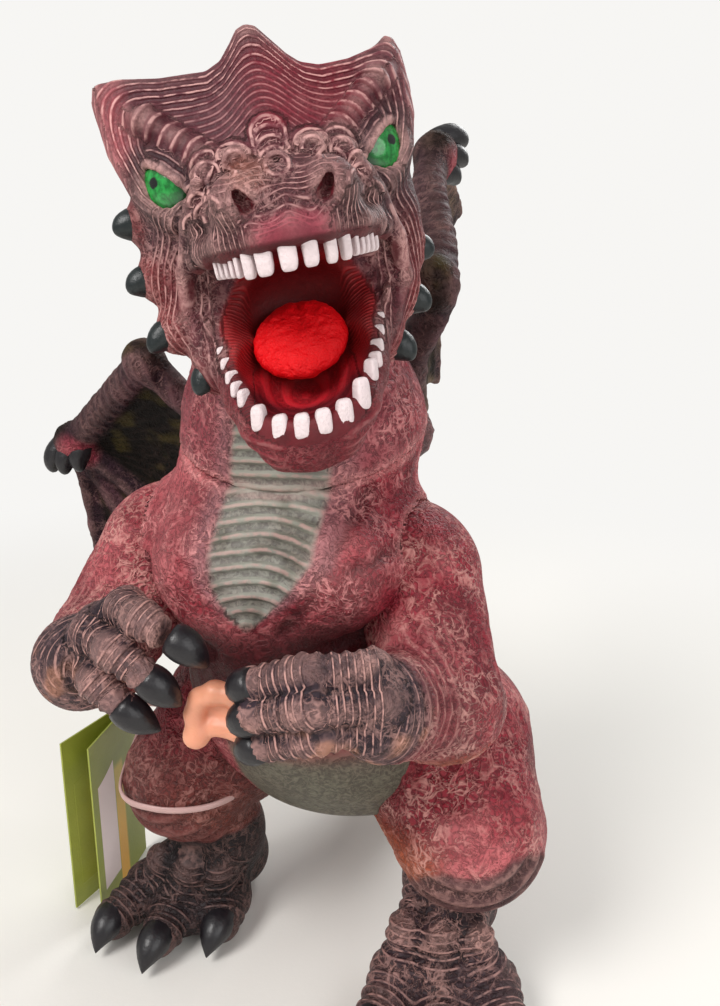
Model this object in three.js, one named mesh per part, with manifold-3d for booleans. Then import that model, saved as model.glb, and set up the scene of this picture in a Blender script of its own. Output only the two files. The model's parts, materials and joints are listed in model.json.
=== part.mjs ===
// Toy dragon figure: hollow soft-vinyl mouldings that plug into a torso shell, with fibre filling,
// a press-to-sound unit behind the belly and a folded card tag on the right leg.
// Millimetres, +Z up. The figure faces -Y and its left side is +X.
import * as THREE from 'three';
import { mergeVertices } from 'three/addons/utils/BufferGeometryUtils.js';
import loadManifold from 'manifold-3d';

const wasm = await loadManifold();
wasm.setup();

// Walls and fits
const WALL = 3; // thickness of a vinyl shell
const GAP = 0.3; // between pieces that touch
const FILL_GAP = 0.5; // between stuffing and the shell round it
const FLANGE = 3; // thickness of a plug's inner flange
const FLANGE_LIP = 4; // how far a flange reaches past its plug

// Torso: overall sizes, and sections from the crotch to the neck seam
const TORSO_BOTTOM = 58;
const TORSO_HEIGHT = 186;
const TORSO_WIDTH = 120;
const TORSO_DEPTH = 120;
// share of the height, centre x, centre y, then shares of half width, half depth in front and behind
const TORSO_SECTIONS = [
  { up: 0.08, x: 2, y: 10, wide: 0.36, front: 0.34, back: 0.36 },
  { up: 0.12, x: 2, y: 8, wide: 0.68, front: 0.64, back: 0.6 },
  { up: 0.2, x: 1, y: 5, wide: 0.9, front: 0.86, back: 0.8 },
  { up: 0.31, x: -3, y: 0, wide: 0.95, front: 1, back: 0.9 },
  { up: 0.44, x: -13, y: -5, wide: 0.78, front: 1.04, back: 0.9 },
  { up: 0.58, x: -17, y: -10, wide: 0.67, front: 1.04, back: 0.87 },
  { up: 0.71, x: -18, y: -14, wide: 0.8, front: 0.98, back: 0.83 },
  { up: 0.85, x: -16, y: -13, wide: 0.8, front: 0.84, back: 0.8 },
  { up: 0.96, x: -11, y: -13, wide: 0.8, front: 0.78, back: 0.76 },
  { up: 1.2, x: -5, y: -17, wide: 0.76, front: 0.72, back: 0.7 },
];

// Neck seam and head
const NECK_AXIS = new THREE.Vector3(0.05, -0.35, 0.94).normalize();
const NECK_PLUG = 24;
const NECK_RISE = { x: 11, y: -50, z: 92 }; // from the seam centre to the point midway between the eyes
const HEAD_WIDTH = 96; // across the crest
const HEAD_TURN = { yaw: 24, roll: -10.5 }; // degrees: towards the figure's left, and leaning to its right
const EYE_SPACING = 67;
const EYE_FORWARD = 10;
const EYE_SIZE = { wide: 7, deep: 5, high: 6 };

// Arms: from the shoulder seat, outwards, along y and up
const SHOULDER_Z = 190;
const SHOULDER_SEAT_DEPTH = 5; // below the side of the torso
const SHOULDER_RADIUS = 25;
const SHOULDER_PLUG = 8;
const SHOULDER_BALL = 9; // seat to the middle of the shoulder
const ELBOW = { out: 31, y: -29, z: -42, radius: 22 };
const WRIST = { out: 15, y: -63, z: -32, radius: 15 };
const PALM = { out: -2, y: -79, z: -28, radius: 16 };
const FINGER = { reach: 20, radius: 6, spread: 12, claw: 9 };

// Legs: from the hip seat
const HIP_Z = 105;
const HIP_SEAT_DEPTH = 20;
const HIP_RADIUS = 41;
const HIP_PLUG = 18;
const HIP_BALL = 10;
const KNEE = { out: 29, y: -26, z: 82, radius: 32 };
const ANKLE = { out: 25, y: -6, z: 46, radius: 23 };
const HEEL = { out: 25, y: 8, z: 17, radius: 20 };
const FOOT_BALL = { out: 25, y: -24, z: 13, radius: 26 };
const TOE = { reach: 32, radius: 12, spread: 26, claw: 13 };

// Tail
const TAIL_Z = 97;
const TAIL_SEAT_DEPTH = 13;
const TAIL_RADIUS = 30;
const TAIL_PLUG = 14;
const TAIL_AXIS = new THREE.Vector3(0, 0.75, -0.66).normalize();
const TAIL_SECTIONS = [
  { y: 32, z: -26, radius: 25 },
  { y: 74, z: -68, radius: 18 },
  { y: 120, z: -82, radius: 12 },
  { y: 170, z: -86, radius: 6 },
  { y: 190, z: -86, radius: 3 },
];

// Wings: seat on the back, hinge line, and the outline measured out from the hinge and down along it
const WING_Z = 226;
const WING_SPACING = 52;
const WING_SEAT_OFF = 16; // seat behind the torso's surface
const WING_AXIS = { out: 0.487, y: -0.633, z: 0.6 };
const WING_FOLDED = 20; // degrees from upright: the left wing
const WING_SPREAD = 116; // the right wing
const WING_PEG = { radius: 5, length: 16 };
const WING_KNUCKLE = { radius: 11, length: 14 };
const WING_THICKNESS = 3;
const WING_BILLOW = 12;
const WING_ARM_RISE = 19; // degrees from square to the hinge line
const WING_TRAIL = { out: 0.36, down: 0.88, round: 0.3 }; // the way the membrane hangs from its arm
// Along the arm, and down the membrane
const WING_ARM = [
  { out: 2, down: 11, radius: 7 },
  { out: 24, down: 17, radius: 7 },
  { out: 58, down: -38, radius: 8 },
  { out: 137, down: 0, radius: 8 },
];
const WING_FINGERS = [
  { out: 146, down: 92 },
  { out: 100, down: 110 },
  { out: 58, down: 90 },
];
const WING_INNER = { out: 22, down: 34 };
const WING_SCALLOP = 14;

// Sound unit: measured from its front face, backwards into the belly
const SOUND_Z = 154;
const CASE_RADIUS = 20;
const CASE_DEPTH = 18;
const CASE_WALL = 2;
const EAR_FROM = 10; // front of the screw ears
const BUTTON = { radius: 8, lip: 2, lipThickness: 1.5, proud: 7, travel: 1.5 };
const BOARD_THICKNESS = 1.6;
const CELL = { radius: 5.8, height: 5.4, count: 3 };
const SPEAKER_RADIUS = 15;
const SCREW = { shank: 1.3, length: 8, head: 2.8, headHeight: 1.8, ear: 4.2 };
const BELLY_CLEARANCE = 1.5; // rim of the button to the belly wall

// Tag and loop on the right leg
const TAG = { width: 50, height: 90, thickness: 0.8, opening: 14, hole: 3, holeIn: 8, out: 26, y: 8, lift: 1 };
const LOOP = { radius: 1, clearance: 2.7, z: 70, hang: 0.7 }; // hang: above the middle of the tag's hole

const SIDES = 12;
const SMALL_SIDES = 6;
const TORSO_SIDES = 20;

const vec = (x, y, z) => new THREE.Vector3(x, y, z);
const along = (start, direction, distance) => start.clone().addScaledVector(direction, distance);

// Closed solids and how they join
function solid(geometry) {
  const bare = geometry.clone();
  bare.deleteAttribute('normal');
  bare.deleteAttribute('uv');
  const merged = mergeVertices(bare, 1e-4);
  return new wasm.Manifold(
    new wasm.Mesh({
      numProp: 3,
      vertProperties: new Float32Array(merged.attributes.position.array),
      triVerts: new Uint32Array(merged.index.array),
    }),
  );
}

const union = (pieces) => pieces.reduce((whole, piece) => whole.add(piece));
const cut = (whole, pieces) => pieces.reduce((left, piece) => left.subtract(piece), whole);

function turned(direction) {
  return new THREE.Quaternion().setFromUnitVectors(vec(0, 1, 0), direction);
}

function frustum(start, end, startRadius, endRadius, sides = SIDES) {
  const direction = end.clone().sub(start);
  const length = direction.length();
  const shape = new THREE.CylinderGeometry(endRadius, startRadius, length, sides);
  shape.applyQuaternion(turned(direction.divideScalar(length)));
  const middle = start.clone().add(end).multiplyScalar(0.5);
  return solid(shape.translate(middle.x, middle.y, middle.z));
}

function rod(start, direction, from, to, radius, sides = SIDES) {
  return frustum(along(start, direction, from), along(start, direction, to), radius, radius, sides);
}

// Radius of a faceted hole whose flats clear a turning piece of the given radius
const clearOf = (radius, count = SIDES) => (radius + GAP) / Math.cos(Math.PI / count);

// A smooth run of round sections through stations, with rounded ends
function limb(stations, sides = SIDES) {
  const steps = stations.slice(1).map(({ at }, i) => at.clone().sub(stations[i].at).normalize());
  const ways = stations.map((_, i) => {
    const before = steps[Math.max(i - 1, 0)];
    const after = steps[Math.min(i, steps.length - 1)];
    return before.clone().add(after).normalize();
  });
  const cap = (index, sign) =>
    [0.71].map((sine) => ({
      at: along(stations[index].at, ways[index], sign * Math.sqrt(1 - sine * sine) * stations[index].radius),
      radius: sine * stations[index].radius,
      way: ways[index],
    }));
  const last = stations.length - 1;
  const sections = [
    ...cap(0, -1).reverse(),
    ...stations.map(({ at, radius }, i) => ({ at, radius, way: ways[i] })),
    ...cap(last, 1),
  ];
  let across = vec(0.3, 0.2, 0.9).projectOnPlane(ways[0]).normalize();
  const rings = sections.map(({ at, radius, way }) => {
    across = across.projectOnPlane(way).normalize();
    const over = way.clone().cross(across);
    return Array.from({ length: sides }, (_, i) => {
      const angle = (2 * Math.PI * i) / sides;
      return along(at, across, radius * Math.cos(angle)).addScaledVector(over, radius * Math.sin(angle));
    });
  });
  return loft(rings);
}

const thinner = (stations, wall) =>
  stations.map(({ at, radius }) => ({ at, radius: radius - wall }));

// Everything in front of a plane, as a large block
function halfSpace(point, normal) {
  const reach = 600;
  const block = new THREE.BoxGeometry(reach, reach, reach).translate(0, reach / 2, 0);
  block.applyQuaternion(turned(normal));
  return solid(block.translate(point.x, point.y, point.z));
}

function fromFaces(points, faces) {
  const shape = new THREE.BufferGeometry().setFromPoints(points);
  shape.setIndex(faces);
  const made = solid(shape);
  if (made.volume() > 0) {
    return made;
  }
  const flipped = [];
  for (let i = 0; i < faces.length; i += 3) {
    flipped.push(faces[i], faces[i + 2], faces[i + 1]);
  }
  shape.setIndex(flipped);
  return solid(shape);
}

// A closed solid through rings of equal count
function loft(rings) {
  const sides = rings[0].length;
  const last = (rings.length - 1) * sides;
  const points = rings.flat();
  const middle = (ring) =>
    ring.reduce((sum, point) => sum.add(point), vec(0, 0, 0)).divideScalar(sides);
  points.push(middle(rings[0]), middle(rings.at(-1)));
  const [foot, top] = [points.length - 2, points.length - 1];
  const faces = [];
  for (let j = 0; j < sides; j += 1) {
    const k = (j + 1) % sides;
    for (let row = 0; row < last; row += sides) {
      faces.push(row + j, row + k, row + sides + k, row + j, row + sides + k, row + sides + j);
    }
    faces.push(foot, k, j, top, last + j, last + k);
  }
  return fromFaces(points, faces);
}

// Torso sections
function torsoAt(z) {
  const up = (z - TORSO_BOTTOM) / TORSO_HEIGHT;
  const next = TORSO_SECTIONS.findIndex((section) => section.up >= up);
  const [a, b] = [TORSO_SECTIONS[Math.max(next - 1, 0)], TORSO_SECTIONS[Math.max(next, 1)]];
  const share = (up - a.up) / (b.up - a.up);
  const mix = (key) => THREE.MathUtils.lerp(a[key], b[key], share);
  return {
    x: mix('x'),
    y: mix('y'),
    wide: (mix('wide') * TORSO_WIDTH) / 2,
    front: (mix('front') * TORSO_DEPTH) / 2,
    back: (mix('back') * TORSO_DEPTH) / 2,
  };
}

function torsoLoft(inset) {
  const rings = TORSO_SECTIONS.map(({ up }, index) => {
    const z = TORSO_BOTTOM + up * TORSO_HEIGHT;
    const section = torsoAt(z);
    const ring = [];
    for (let i = 0; i < TORSO_SIDES; i += 1) {
      const angle = (2 * Math.PI * i) / TORSO_SIDES;
      const depth = Math.sin(angle) < 0 ? section.front : section.back;
      ring.push(
        vec(
          section.x + (section.wide - inset) * Math.cos(angle),
          section.y + (depth - inset) * Math.sin(angle),
          index === 0 ? z + inset : z,
        ),
      );
    }
    return ring;
  });
  return loft(rings);
}

// A seat is where a limb meets the torso: a flat, round recess with a plug hole through its floor.
function seat(at, outwards, radius, plug) {
  const inner = -(WALL + GAP);
  const round = clearOf(radius);
  return {
    at,
    outwards,
    recess: rod(at, outwards, 0, 90, round),
    recessWall: rod(at, outwards, -WALL, 90, round + WALL),
    hole: rod(at, outwards, -2 * WALL, WALL, clearOf(plug)).add(
      rod(at, outwards, inner - FLANGE - GAP, -WALL, clearOf(plug + FLANGE_LIP)),
    ),
    plug: rod(at, outwards, inner - FLANGE, WALL, plug).add(
      rod(at, outwards, inner - FLANGE, inner, plug + FLANGE_LIP),
    ),
    bore: rod(at, outwards, inner - 2 * FLANGE, WALL + 1, plug - WALL),
    keepOut: rod(at, outwards, inner - FLANGE - FILL_GAP, 1, clearOf(plug + FLANGE_LIP + FILL_GAP)),
    face: halfSpace(along(at, outwards, GAP), outwards),
    floor: halfSpace(along(at, outwards, GAP + WALL), outwards),
    fillFloor: halfSpace(along(at, outwards, GAP + WALL + FILL_GAP), outwards),
  };
}

function sideSeat(side, z, y, depth, radius, plug) {
  const section = torsoAt(z);
  const at = vec(section.x + side * (section.wide - depth), y, z);
  return seat(at, vec(side, 0, 0), radius, plug);
}

const LEFT = 1;
const RIGHT = -1;
const sides = [LEFT, RIGHT];
const sideName = (side) => (side === LEFT ? 'left' : 'right');
const shoulderY = torsoAt(SHOULDER_Z).y - 2;
const shoulders = sides.map((side) =>
  sideSeat(side, SHOULDER_Z, shoulderY, SHOULDER_SEAT_DEPTH, SHOULDER_RADIUS, SHOULDER_PLUG),
);
const hips = sides.map((side) =>
  sideSeat(side, HIP_Z, torsoAt(HIP_Z).y, HIP_SEAT_DEPTH, HIP_RADIUS, HIP_PLUG),
);
const tailSection = torsoAt(TAIL_Z);
const tailAt = vec(tailSection.x, tailSection.y + tailSection.back - TAIL_SEAT_DEPTH, TAIL_Z);
const tailSeat = seat(tailAt, TAIL_AXIS, TAIL_RADIUS, TAIL_PLUG);
const seamSection = torsoAt(TORSO_BOTTOM + TORSO_HEIGHT);
const neckAt = vec(seamSection.x, seamSection.y, TORSO_BOTTOM + TORSO_HEIGHT);
const neckSeat = seat(neckAt, NECK_AXIS, TORSO_WIDTH, NECK_PLUG);

// A wing's frame: its seat, the hinge line, the way out from it and the way its membrane faces
function wingFrame(side) {
  const section = torsoAt(WING_Z);
  const x = (side * WING_SPACING) / 2;
  const reach = Math.sqrt(1 - (x / section.wide) ** 2) * section.back;
  const at = vec(section.x + x, section.y + reach + WING_SEAT_OFF, WING_Z);
  const axis = vec(side * WING_AXIS.out, WING_AXIS.y, WING_AXIS.z).normalize();
  const upright = vec(0, 0, 1).projectOnPlane(axis).normalize();
  const swing = THREE.MathUtils.degToRad(side === LEFT ? WING_FOLDED : WING_SPREAD);
  const out = upright.applyAxisAngle(axis, -side * swing);
  const rise = THREE.MathUtils.degToRad(WING_ARM_RISE);
  const arm = out.clone().multiplyScalar(Math.cos(rise)).addScaledVector(axis, Math.sin(rise));
  const trail = out.clone().multiplyScalar(WING_TRAIL.out).addScaledVector(axis, -WING_TRAIL.down);
  trail.addScaledVector(axis.clone().cross(out), -side * WING_TRAIL.round);
  trail.projectOnPlane(arm).normalize();
  const facing = arm.clone().cross(trail).multiplyScalar(side);
  const place = (outwards, down, proud = 0) =>
    along(at, arm, outwards).addScaledVector(trail, down).addScaledVector(facing, proud);
  const root = vec(section.x + x * 0.6, section.y + reach * 0.4, WING_Z - 4);
  return { at, axis, place, root };
}

const wingFrames = sides.map(wingFrame);

function wingBoss({ at, axis, root }) {
  const { radius, length } = WING_KNUCKLE;
  const lobe = limb([
    { at: along(at, axis, length), radius: radius + 2 },
    { at: root, radius: radius + 6 },
  ]);
  return lobe.intersect(halfSpace(at, axis));
}

const wingHole = ({ at, axis }) =>
  rod(at, axis, -1, WING_PEG.length + GAP, clearOf(WING_PEG.radius));

// The room that arms and legs take up where they reach past their seats
function limbRooms(grow) {
  const room = (stations, { at, outwards }) =>
    limb(thinner(stations, -grow)).intersect(halfSpace(along(at, outwards, GAP - grow), outwards));
  return sides.flatMap((side, index) => {
    const [arms, legs] = [armStations(side, shoulders[index]), legStations(side, hips[index])];
    return [
      room(arms.slice(0, 2), shoulders[index]),
      limb(thinner(arms.slice(1), -grow)),
      room(legs.slice(0, 4), hips[index]),
    ];
  });
}

function torsoShell() {
  const seats = [...shoulders, ...hips, tailSeat];
  const top = halfSpace(neckAt, NECK_AXIS);
  const ceiling = halfSpace(along(neckAt, NECK_AXIS, -WALL), NECK_AXIS);
  const skin = union([torsoLoft(0), ...wingFrames.map(wingBoss)]);
  const outside = cut(skin, [top, ...seats.map(({ recess }) => recess), ...limbRooms(GAP)]);
  const walls = seats.map(({ recessWall }) => recessWall);
  const inside = cut(torsoLoft(WALL), [ceiling, ...walls, ...limbRooms(GAP + WALL)]);
  const holes = [...seats, neckSeat].map(({ hole }) => hole);
  return cut(outside, [inside, ...holes, ...wingFrames.map(wingHole)]);
}

const CREST = { tip: [48, 33], dip: [26, 28], peak: 43, low: [46, 5], base: [30, -6], front: 6, back: 18 };

// Head: points measured from midway between the eyes, x to its left, y backwards, z up
const headScale = HEAD_WIDTH / (2 * CREST.tip[0]);
const headCentre = neckAt.clone().add(vec(NECK_RISE.x, NECK_RISE.y, NECK_RISE.z));
const headTurn = new THREE.Matrix4()
  .makeRotationZ(THREE.MathUtils.degToRad(HEAD_TURN.yaw))
  .multiply(new THREE.Matrix4().makeRotationY(THREE.MathUtils.degToRad(HEAD_TURN.roll)));
const headMatrix = new THREE.Matrix4()
  .makeTranslation(headCentre)
  .multiply(headTurn)
  .scale(vec(headScale, headScale, headScale));
const onHead = (x, y, z) => vec(x, y, z).applyMatrix4(headMatrix);

function headBlob([x, y, z], [wide, deep, high], detail = SIDES) {
  const shape = new THREE.SphereGeometry(1, detail, Math.round(detail * 0.6)).rotateX(Math.PI / 2);
  return solid(shape.scale(wide, deep, high).translate(x, y, z).applyMatrix4(headMatrix));
}

// Rings across the head, from back to front
function headLoft(sections, grow = 0) {
  const deepest = Math.max(...sections.map(({ y }) => y));
  const rings = sections.map(({ y, wide, low, high }) => {
    const ring = [];
    const back = y === deepest ? y + grow : y;
    for (let i = 0; i < SIDES; i += 1) {
      const angle = (2 * Math.PI * i) / SIDES;
      const tall = (high - low) / 2 + grow;
      ring.push(onHead((wide + grow) * Math.cos(angle), back, (high + low) / 2 + tall * Math.sin(angle)));
    }
    return ring;
  });
  return loft(rings);
}

const SNOUT = [
  { y: 11, wide: 36, low: -35, high: 10 },
  { y: -14, wide: 30, low: -33, high: 4 },
  { y: -32, wide: 25, low: -32, high: 0 },
  { y: -45, wide: 17, low: -30, high: -6 },
];
const JAW = [
  { y: 13, wide: 35, low: -79, high: -43 },
  { y: -12, wide: 29, low: -88, high: -60 },
  { y: -30, wide: 22, low: -92, high: -69 },
  { y: -38, wide: 13, low: -90, high: -74 },
];
const MOUTH = [
  { y: -60, wide: 25, low: -69, high: -33 },
  { y: -16, wide: 25, low: -69, high: -33 },
  { y: 0, wide: 20, low: -64, high: -36 },
  { y: 7, wide: 13, low: -60, high: -42 },
];
const CHEEK_SPIKES = [
  { at: [36, 15, -12], tip: [53, 11, -12] },
  { at: [38, 12, -31], tip: [53, 8, -32] },
  { at: [36, 9, -48], tip: [47, 3, -53] },
  { at: [26, 6, -62], tip: [35, -2, -71] },
];

function crest() {
  const half = [CREST.dip, CREST.tip, CREST.low, CREST.base];
  const other = half.map(([x, z]) => [-x, z]).reverse();
  const outline = [[0, CREST.peak], ...half, ...other].map(([x, z]) => new THREE.Vector2(x, z));
  const plate = new THREE.ExtrudeGeometry(new THREE.Shape(outline), {
    depth: CREST.back - CREST.front,
    bevelEnabled: false,
  });
  return solid(plate.rotateX(Math.PI / 2).translate(0, CREST.back, 0).applyMatrix4(headMatrix));
}

function cheekSpikes() {
  return CHEEK_SPIKES.flatMap(({ at, tip }) =>
    sides.map((side) =>
      frustum(
        onHead(side * at[0], at[1], at[2]),
        onHead(side * tip[0], tip[1], tip[2]),
        5 * headScale,
        0.8,
        SMALL_SIDES,
      ),
    ),
  );
}

const eyeBlob = (side, grow = 0) =>
  headBlob(
    [(side * EYE_SPACING) / 2 / headScale, -EYE_FORWARD, 0],
    [EYE_SIZE.wide + grow, EYE_SIZE.deep + grow, EYE_SIZE.high + grow],
    12,
  );

// The neck between the seam and the back of the skull, as wide at the seam as the torso is there
function neckRun(inset) {
  const base = seamSection.wide - inset;
  return [
    { at: along(neckAt, NECK_AXIS, -4), radius: base },
    { at: along(neckAt, NECK_AXIS, 26), radius: base - 4 },
    { at: onHead(0, 22, -28), radius: 34 * headScale - inset },
  ];
}

const skullHollow = (inset) => headBlob([0, 17, -2], [34 - inset, 22 - inset, 26 - inset]);
const headInside = (inset) =>
  cut(union([skullHollow(inset), limb(neckRun(WALL + inset), TORSO_SIDES)]), [
    headLoft(MOUTH, WALL + inset),
  ]);

function headShell() {
  const skull = union([
    headBlob([0, 10, -4], [41, 34, 35]),
    crest(),
    headLoft(SNOUT),
    headLoft(JAW),
    ...sides.map((side) => headBlob([side * 33, 8, -40], [15, 17, 36])),
    ...cheekSpikes(),
    limb(neckRun(0), TORSO_SIDES),
  ]);
  const tongue = headBlob([0, -10, -64], [15, 20, 7]);
  const open = cut(skull, [headLoft(MOUTH)]).add(tongue);
  const above = open.intersect(neckSeat.face);
  const hollow = headInside(0).intersect(neckSeat.floor);
  const sockets = sides.map((side) => eyeBlob(side, GAP));
  return cut(above.add(neckSeat.plug), [hollow, neckSeat.bore, ...sockets]);
}

const headFilling = () => headInside(FILL_GAP).intersect(neckSeat.fillFloor);

// Arms
function armStations(side, { at }) {
  const place = ({ out, y, z, radius }) => ({ at: at.clone().add(vec(side * out, y, z)), radius });
  const shoulder = { out: SHOULDER_BALL, y: 0, z: 0, radius: SHOULDER_RADIUS };
  return [shoulder, ELBOW, WRIST, PALM].map(place);
}

function fingers(side, palm) {
  const pieces = [];
  for (let i = -1; i <= 1; i += 1) {
    const knuckle = palm.at.clone().add(vec(-side * 6, -6, i * FINGER.spread));
    const tip = knuckle.clone().add(vec(-side * FINGER.reach, -2, -2));
    const claw = tip.clone().add(vec(-side * FINGER.claw * 0.6, FINGER.claw * 0.6, -3));
    pieces.push(limb([{ at: knuckle, radius: FINGER.radius + 1 }, { at: tip, radius: FINGER.radius }], SMALL_SIDES));
    pieces.push(frustum(tip, claw, FINGER.radius - 1, 0.6, SMALL_SIDES));
  }
  return pieces;
}

function arm(side, shoulder) {
  const stations = armStations(side, shoulder);
  const upper = limb(stations.slice(0, 2)).intersect(shoulder.face);
  const lower = union([limb(stations.slice(1)), ...fingers(side, stations.at(-1))]);
  const hollow = limb(thinner(stations.slice(0, 2), WALL)).intersect(shoulder.floor);
  return cut(union([upper, lower, shoulder.plug]), [hollow, shoulder.bore]);
}

// Legs
function legStations(side, { at }) {
  const place = ({ out, y, z, radius }) => ({ at: vec(at.x + side * out, at.y + y, z), radius });
  const hip = { out: HIP_BALL, y: 0, z: HIP_Z, radius: HIP_RADIUS };
  return [hip, KNEE, ANKLE, HEEL, FOOT_BALL].map(place);
}

function toes(foot) {
  const pieces = [];
  for (let i = -1; i <= 1; i += 1) {
    const knuckle = foot.at.clone().add(vec(i * TOE.spread * 0.7, -4, 0));
    const tip = knuckle.clone().add(vec(i * TOE.spread * 0.3, -TOE.reach * 0.7, -4));
    const claw = tip.clone().add(vec(0, -TOE.claw, -6));
    pieces.push(limb([{ at: knuckle, radius: TOE.radius }, { at: tip, radius: TOE.radius - 2 }], 8));
    pieces.push(frustum(tip, claw, TOE.radius - 4, 1, SMALL_SIDES));
  }
  return pieces;
}

const ground = halfSpace(vec(0, 0, 0), vec(0, 0, 1));

function leg(side, hip) {
  const stations = legStations(side, hip);
  const skin = union([limb(stations.slice(0, 4)), limb(stations.slice(3)), ...toes(stations.at(-1))]);
  const outside = skin.intersect(ground).intersect(hip.face);
  return cut(outside.add(hip.plug), [legHollow(side, hip, 0).intersect(hip.floor), hip.bore]);
}

const legHollow = (side, hip, inset) => limb(thinner(legStations(side, hip).slice(0, 3), WALL + inset));
const legFilling = (side, hip) => legHollow(side, hip, FILL_GAP).intersect(hip.fillFloor);

// Tail
const tailStations = [
  { at: along(tailAt, TAIL_AXIS, 4), radius: TAIL_RADIUS - 2 * GAP },
  ...TAIL_SECTIONS.map(({ y, z, radius }) => ({ at: tailAt.clone().add(vec(0, y, z)), radius })),
];
const tailHollow = (inset) => limb(thinner(tailStations.slice(0, 3), WALL + inset));

function tail() {
  const skin = limb(tailStations).intersect(ground).intersect(tailSeat.face);
  const hollow = tailHollow(0).intersect(tailSeat.floor);
  return cut(skin.add(tailSeat.plug), [hollow, tailSeat.bore]);
}

const tailFilling = () => tailHollow(FILL_GAP).intersect(tailSeat.fillFloor);

// Wings
function wingEdge(share) {
  const corners = [WING_INNER, ...[...WING_FINGERS].reverse()];
  const span = share * (corners.length - 1);
  const index = Math.min(Math.floor(span), corners.length - 2);
  const local = span - index;
  const mix = (key) => THREE.MathUtils.lerp(corners[index][key], corners[index + 1][key], local);
  const scallop = WING_SCALLOP * Math.sin(Math.PI * local);
  return { out: mix('out'), down: mix('down') - scallop };
}

// The arm's line from its shoulder to the wrist
function wingArmAt(share) {
  const [shoulder, elbow, wrist] = WING_ARM.slice(1);
  const out = THREE.MathUtils.lerp(shoulder.out, wrist.out, share);
  const [a, b] = out < elbow.out ? [shoulder, elbow] : [elbow, wrist];
  return { out, down: THREE.MathUtils.mapLinear(out, a.out, b.out, a.down, b.down) };
}

function wingMembrane(place) {
  const [columns, rows] = [12, 4];
  const points = [];
  for (const face of [1, -1]) {
    for (let i = 0; i <= columns; i += 1) {
      const share = i / columns;
      const edge = wingEdge(share);
      const top = wingArmAt(share);
      for (let j = 0; j <= rows; j += 1) {
        const drop = j / rows;
        const billow = WING_BILLOW * Math.sin(Math.PI * drop) * Math.sin(Math.PI * share);
        points.push(
          place(
            THREE.MathUtils.lerp(top.out, edge.out, drop),
            THREE.MathUtils.lerp(top.down, edge.down, drop),
            (face * WING_THICKNESS) / 2 - billow,
          ),
        );
      }
    }
  }
  return fromFaces(points, sheetFaces(columns, rows));
}

// Triangles of a closed sheet whose two faces are grids of the same size
function sheetFaces(columns, rows) {
  const faces = [];
  const at = (face, i, j) => (face * (columns + 1) + i) * (rows + 1) + j;
  const quad = (a, b, c, d) => faces.push(a, b, c, a, c, d);
  for (let i = 0; i < columns; i += 1) {
    for (let j = 0; j < rows; j += 1) {
      quad(at(0, i, j), at(0, i + 1, j), at(0, i + 1, j + 1), at(0, i, j + 1));
      quad(at(1, i, j), at(1, i, j + 1), at(1, i + 1, j + 1), at(1, i + 1, j));
    }
    quad(at(0, i + 1, 0), at(0, i, 0), at(1, i, 0), at(1, i + 1, 0));
    quad(at(0, i, rows), at(0, i + 1, rows), at(1, i + 1, rows), at(1, i, rows));
  }
  for (let j = 0; j < rows; j += 1) {
    quad(at(0, 0, j), at(0, 0, j + 1), at(1, 0, j + 1), at(1, 0, j));
    quad(at(0, columns, j + 1), at(0, columns, j), at(1, columns, j), at(1, columns, j + 1));
  }
  return faces;
}

function wing({ at, axis, place }) {
  const armRun = WING_ARM.map(({ out, down, radius }) => ({ at: place(out, down), radius }));
  const wrist = armRun.at(-1);
  const struts = WING_FINGERS.map(({ out, down }) =>
    limb([{ at: wrist.at, radius: 5 }, { at: place(out, down), radius: 2.4 }], SMALL_SIDES),
  );
  const { out: wristOut, down: wristDown } = WING_ARM.at(-1);
  const claws = [-14, 0, 14].map((shift) => {
    const tip = place(wristOut + 20 - Math.abs(shift) * 0.4, wristDown - 8 + shift);
    return frustum(wrist.at, tip, 5, 0.8, SMALL_SIDES);
  });
  const skin = union([limb(armRun, 8), ...struts, ...claws, wingMembrane(place)]);
  const knuckle = rod(at, axis, -WING_KNUCKLE.length, -GAP, WING_KNUCKLE.radius);
  const peg = rod(at, axis, -2, WING_PEG.length, WING_PEG.radius);
  return union([skin, knuckle, peg]);
}

// Sound unit: a round case behind the belly, its axis along y
const soundSection = torsoAt(SOUND_Z);
function bellyWall(x, z) {
  const section = torsoAt(z);
  const bulge = Math.sqrt(1 - ((soundSection.x + x - section.x) / section.wide) ** 2);
  return section.y - section.front * bulge + WALL;
}
const buttonRim = [0, 1, 2, 3].map((quarter) => {
  const angle = (Math.PI / 2) * quarter;
  return bellyWall(BUTTON.radius * Math.cos(angle), SOUND_Z + BUTTON.radius * Math.sin(angle));
});
const caseFront = vec(soundSection.x, Math.max(...buttonRim) + BELLY_CLEARANCE + BUTTON.proud, SOUND_Z);
const inwards = vec(0, 1, 0);
const caseRod = (from, to, radius, x = 0, z = 0, count = SIDES) =>
  rod(caseFront.clone().add(vec(x, 0, z)), inwards, from, to, radius, count);
const earX = CASE_RADIUS + 3;
const boardFrom = CASE_WALL + GAP + BUTTON.lipThickness + BUTTON.travel + GAP;
const cellsFrom = boardFrom + BOARD_THICKNESS + GAP;
const speakerFrom = cellsFrom + CELL.height + GAP;
const coverFrom = CASE_DEPTH + GAP;
const coverTo = coverFrom + CASE_WALL;
const ears = (from, to, radius, count) =>
  sides.map((side) => caseRod(from, to, radius, side * earX, 0, count));

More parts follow.
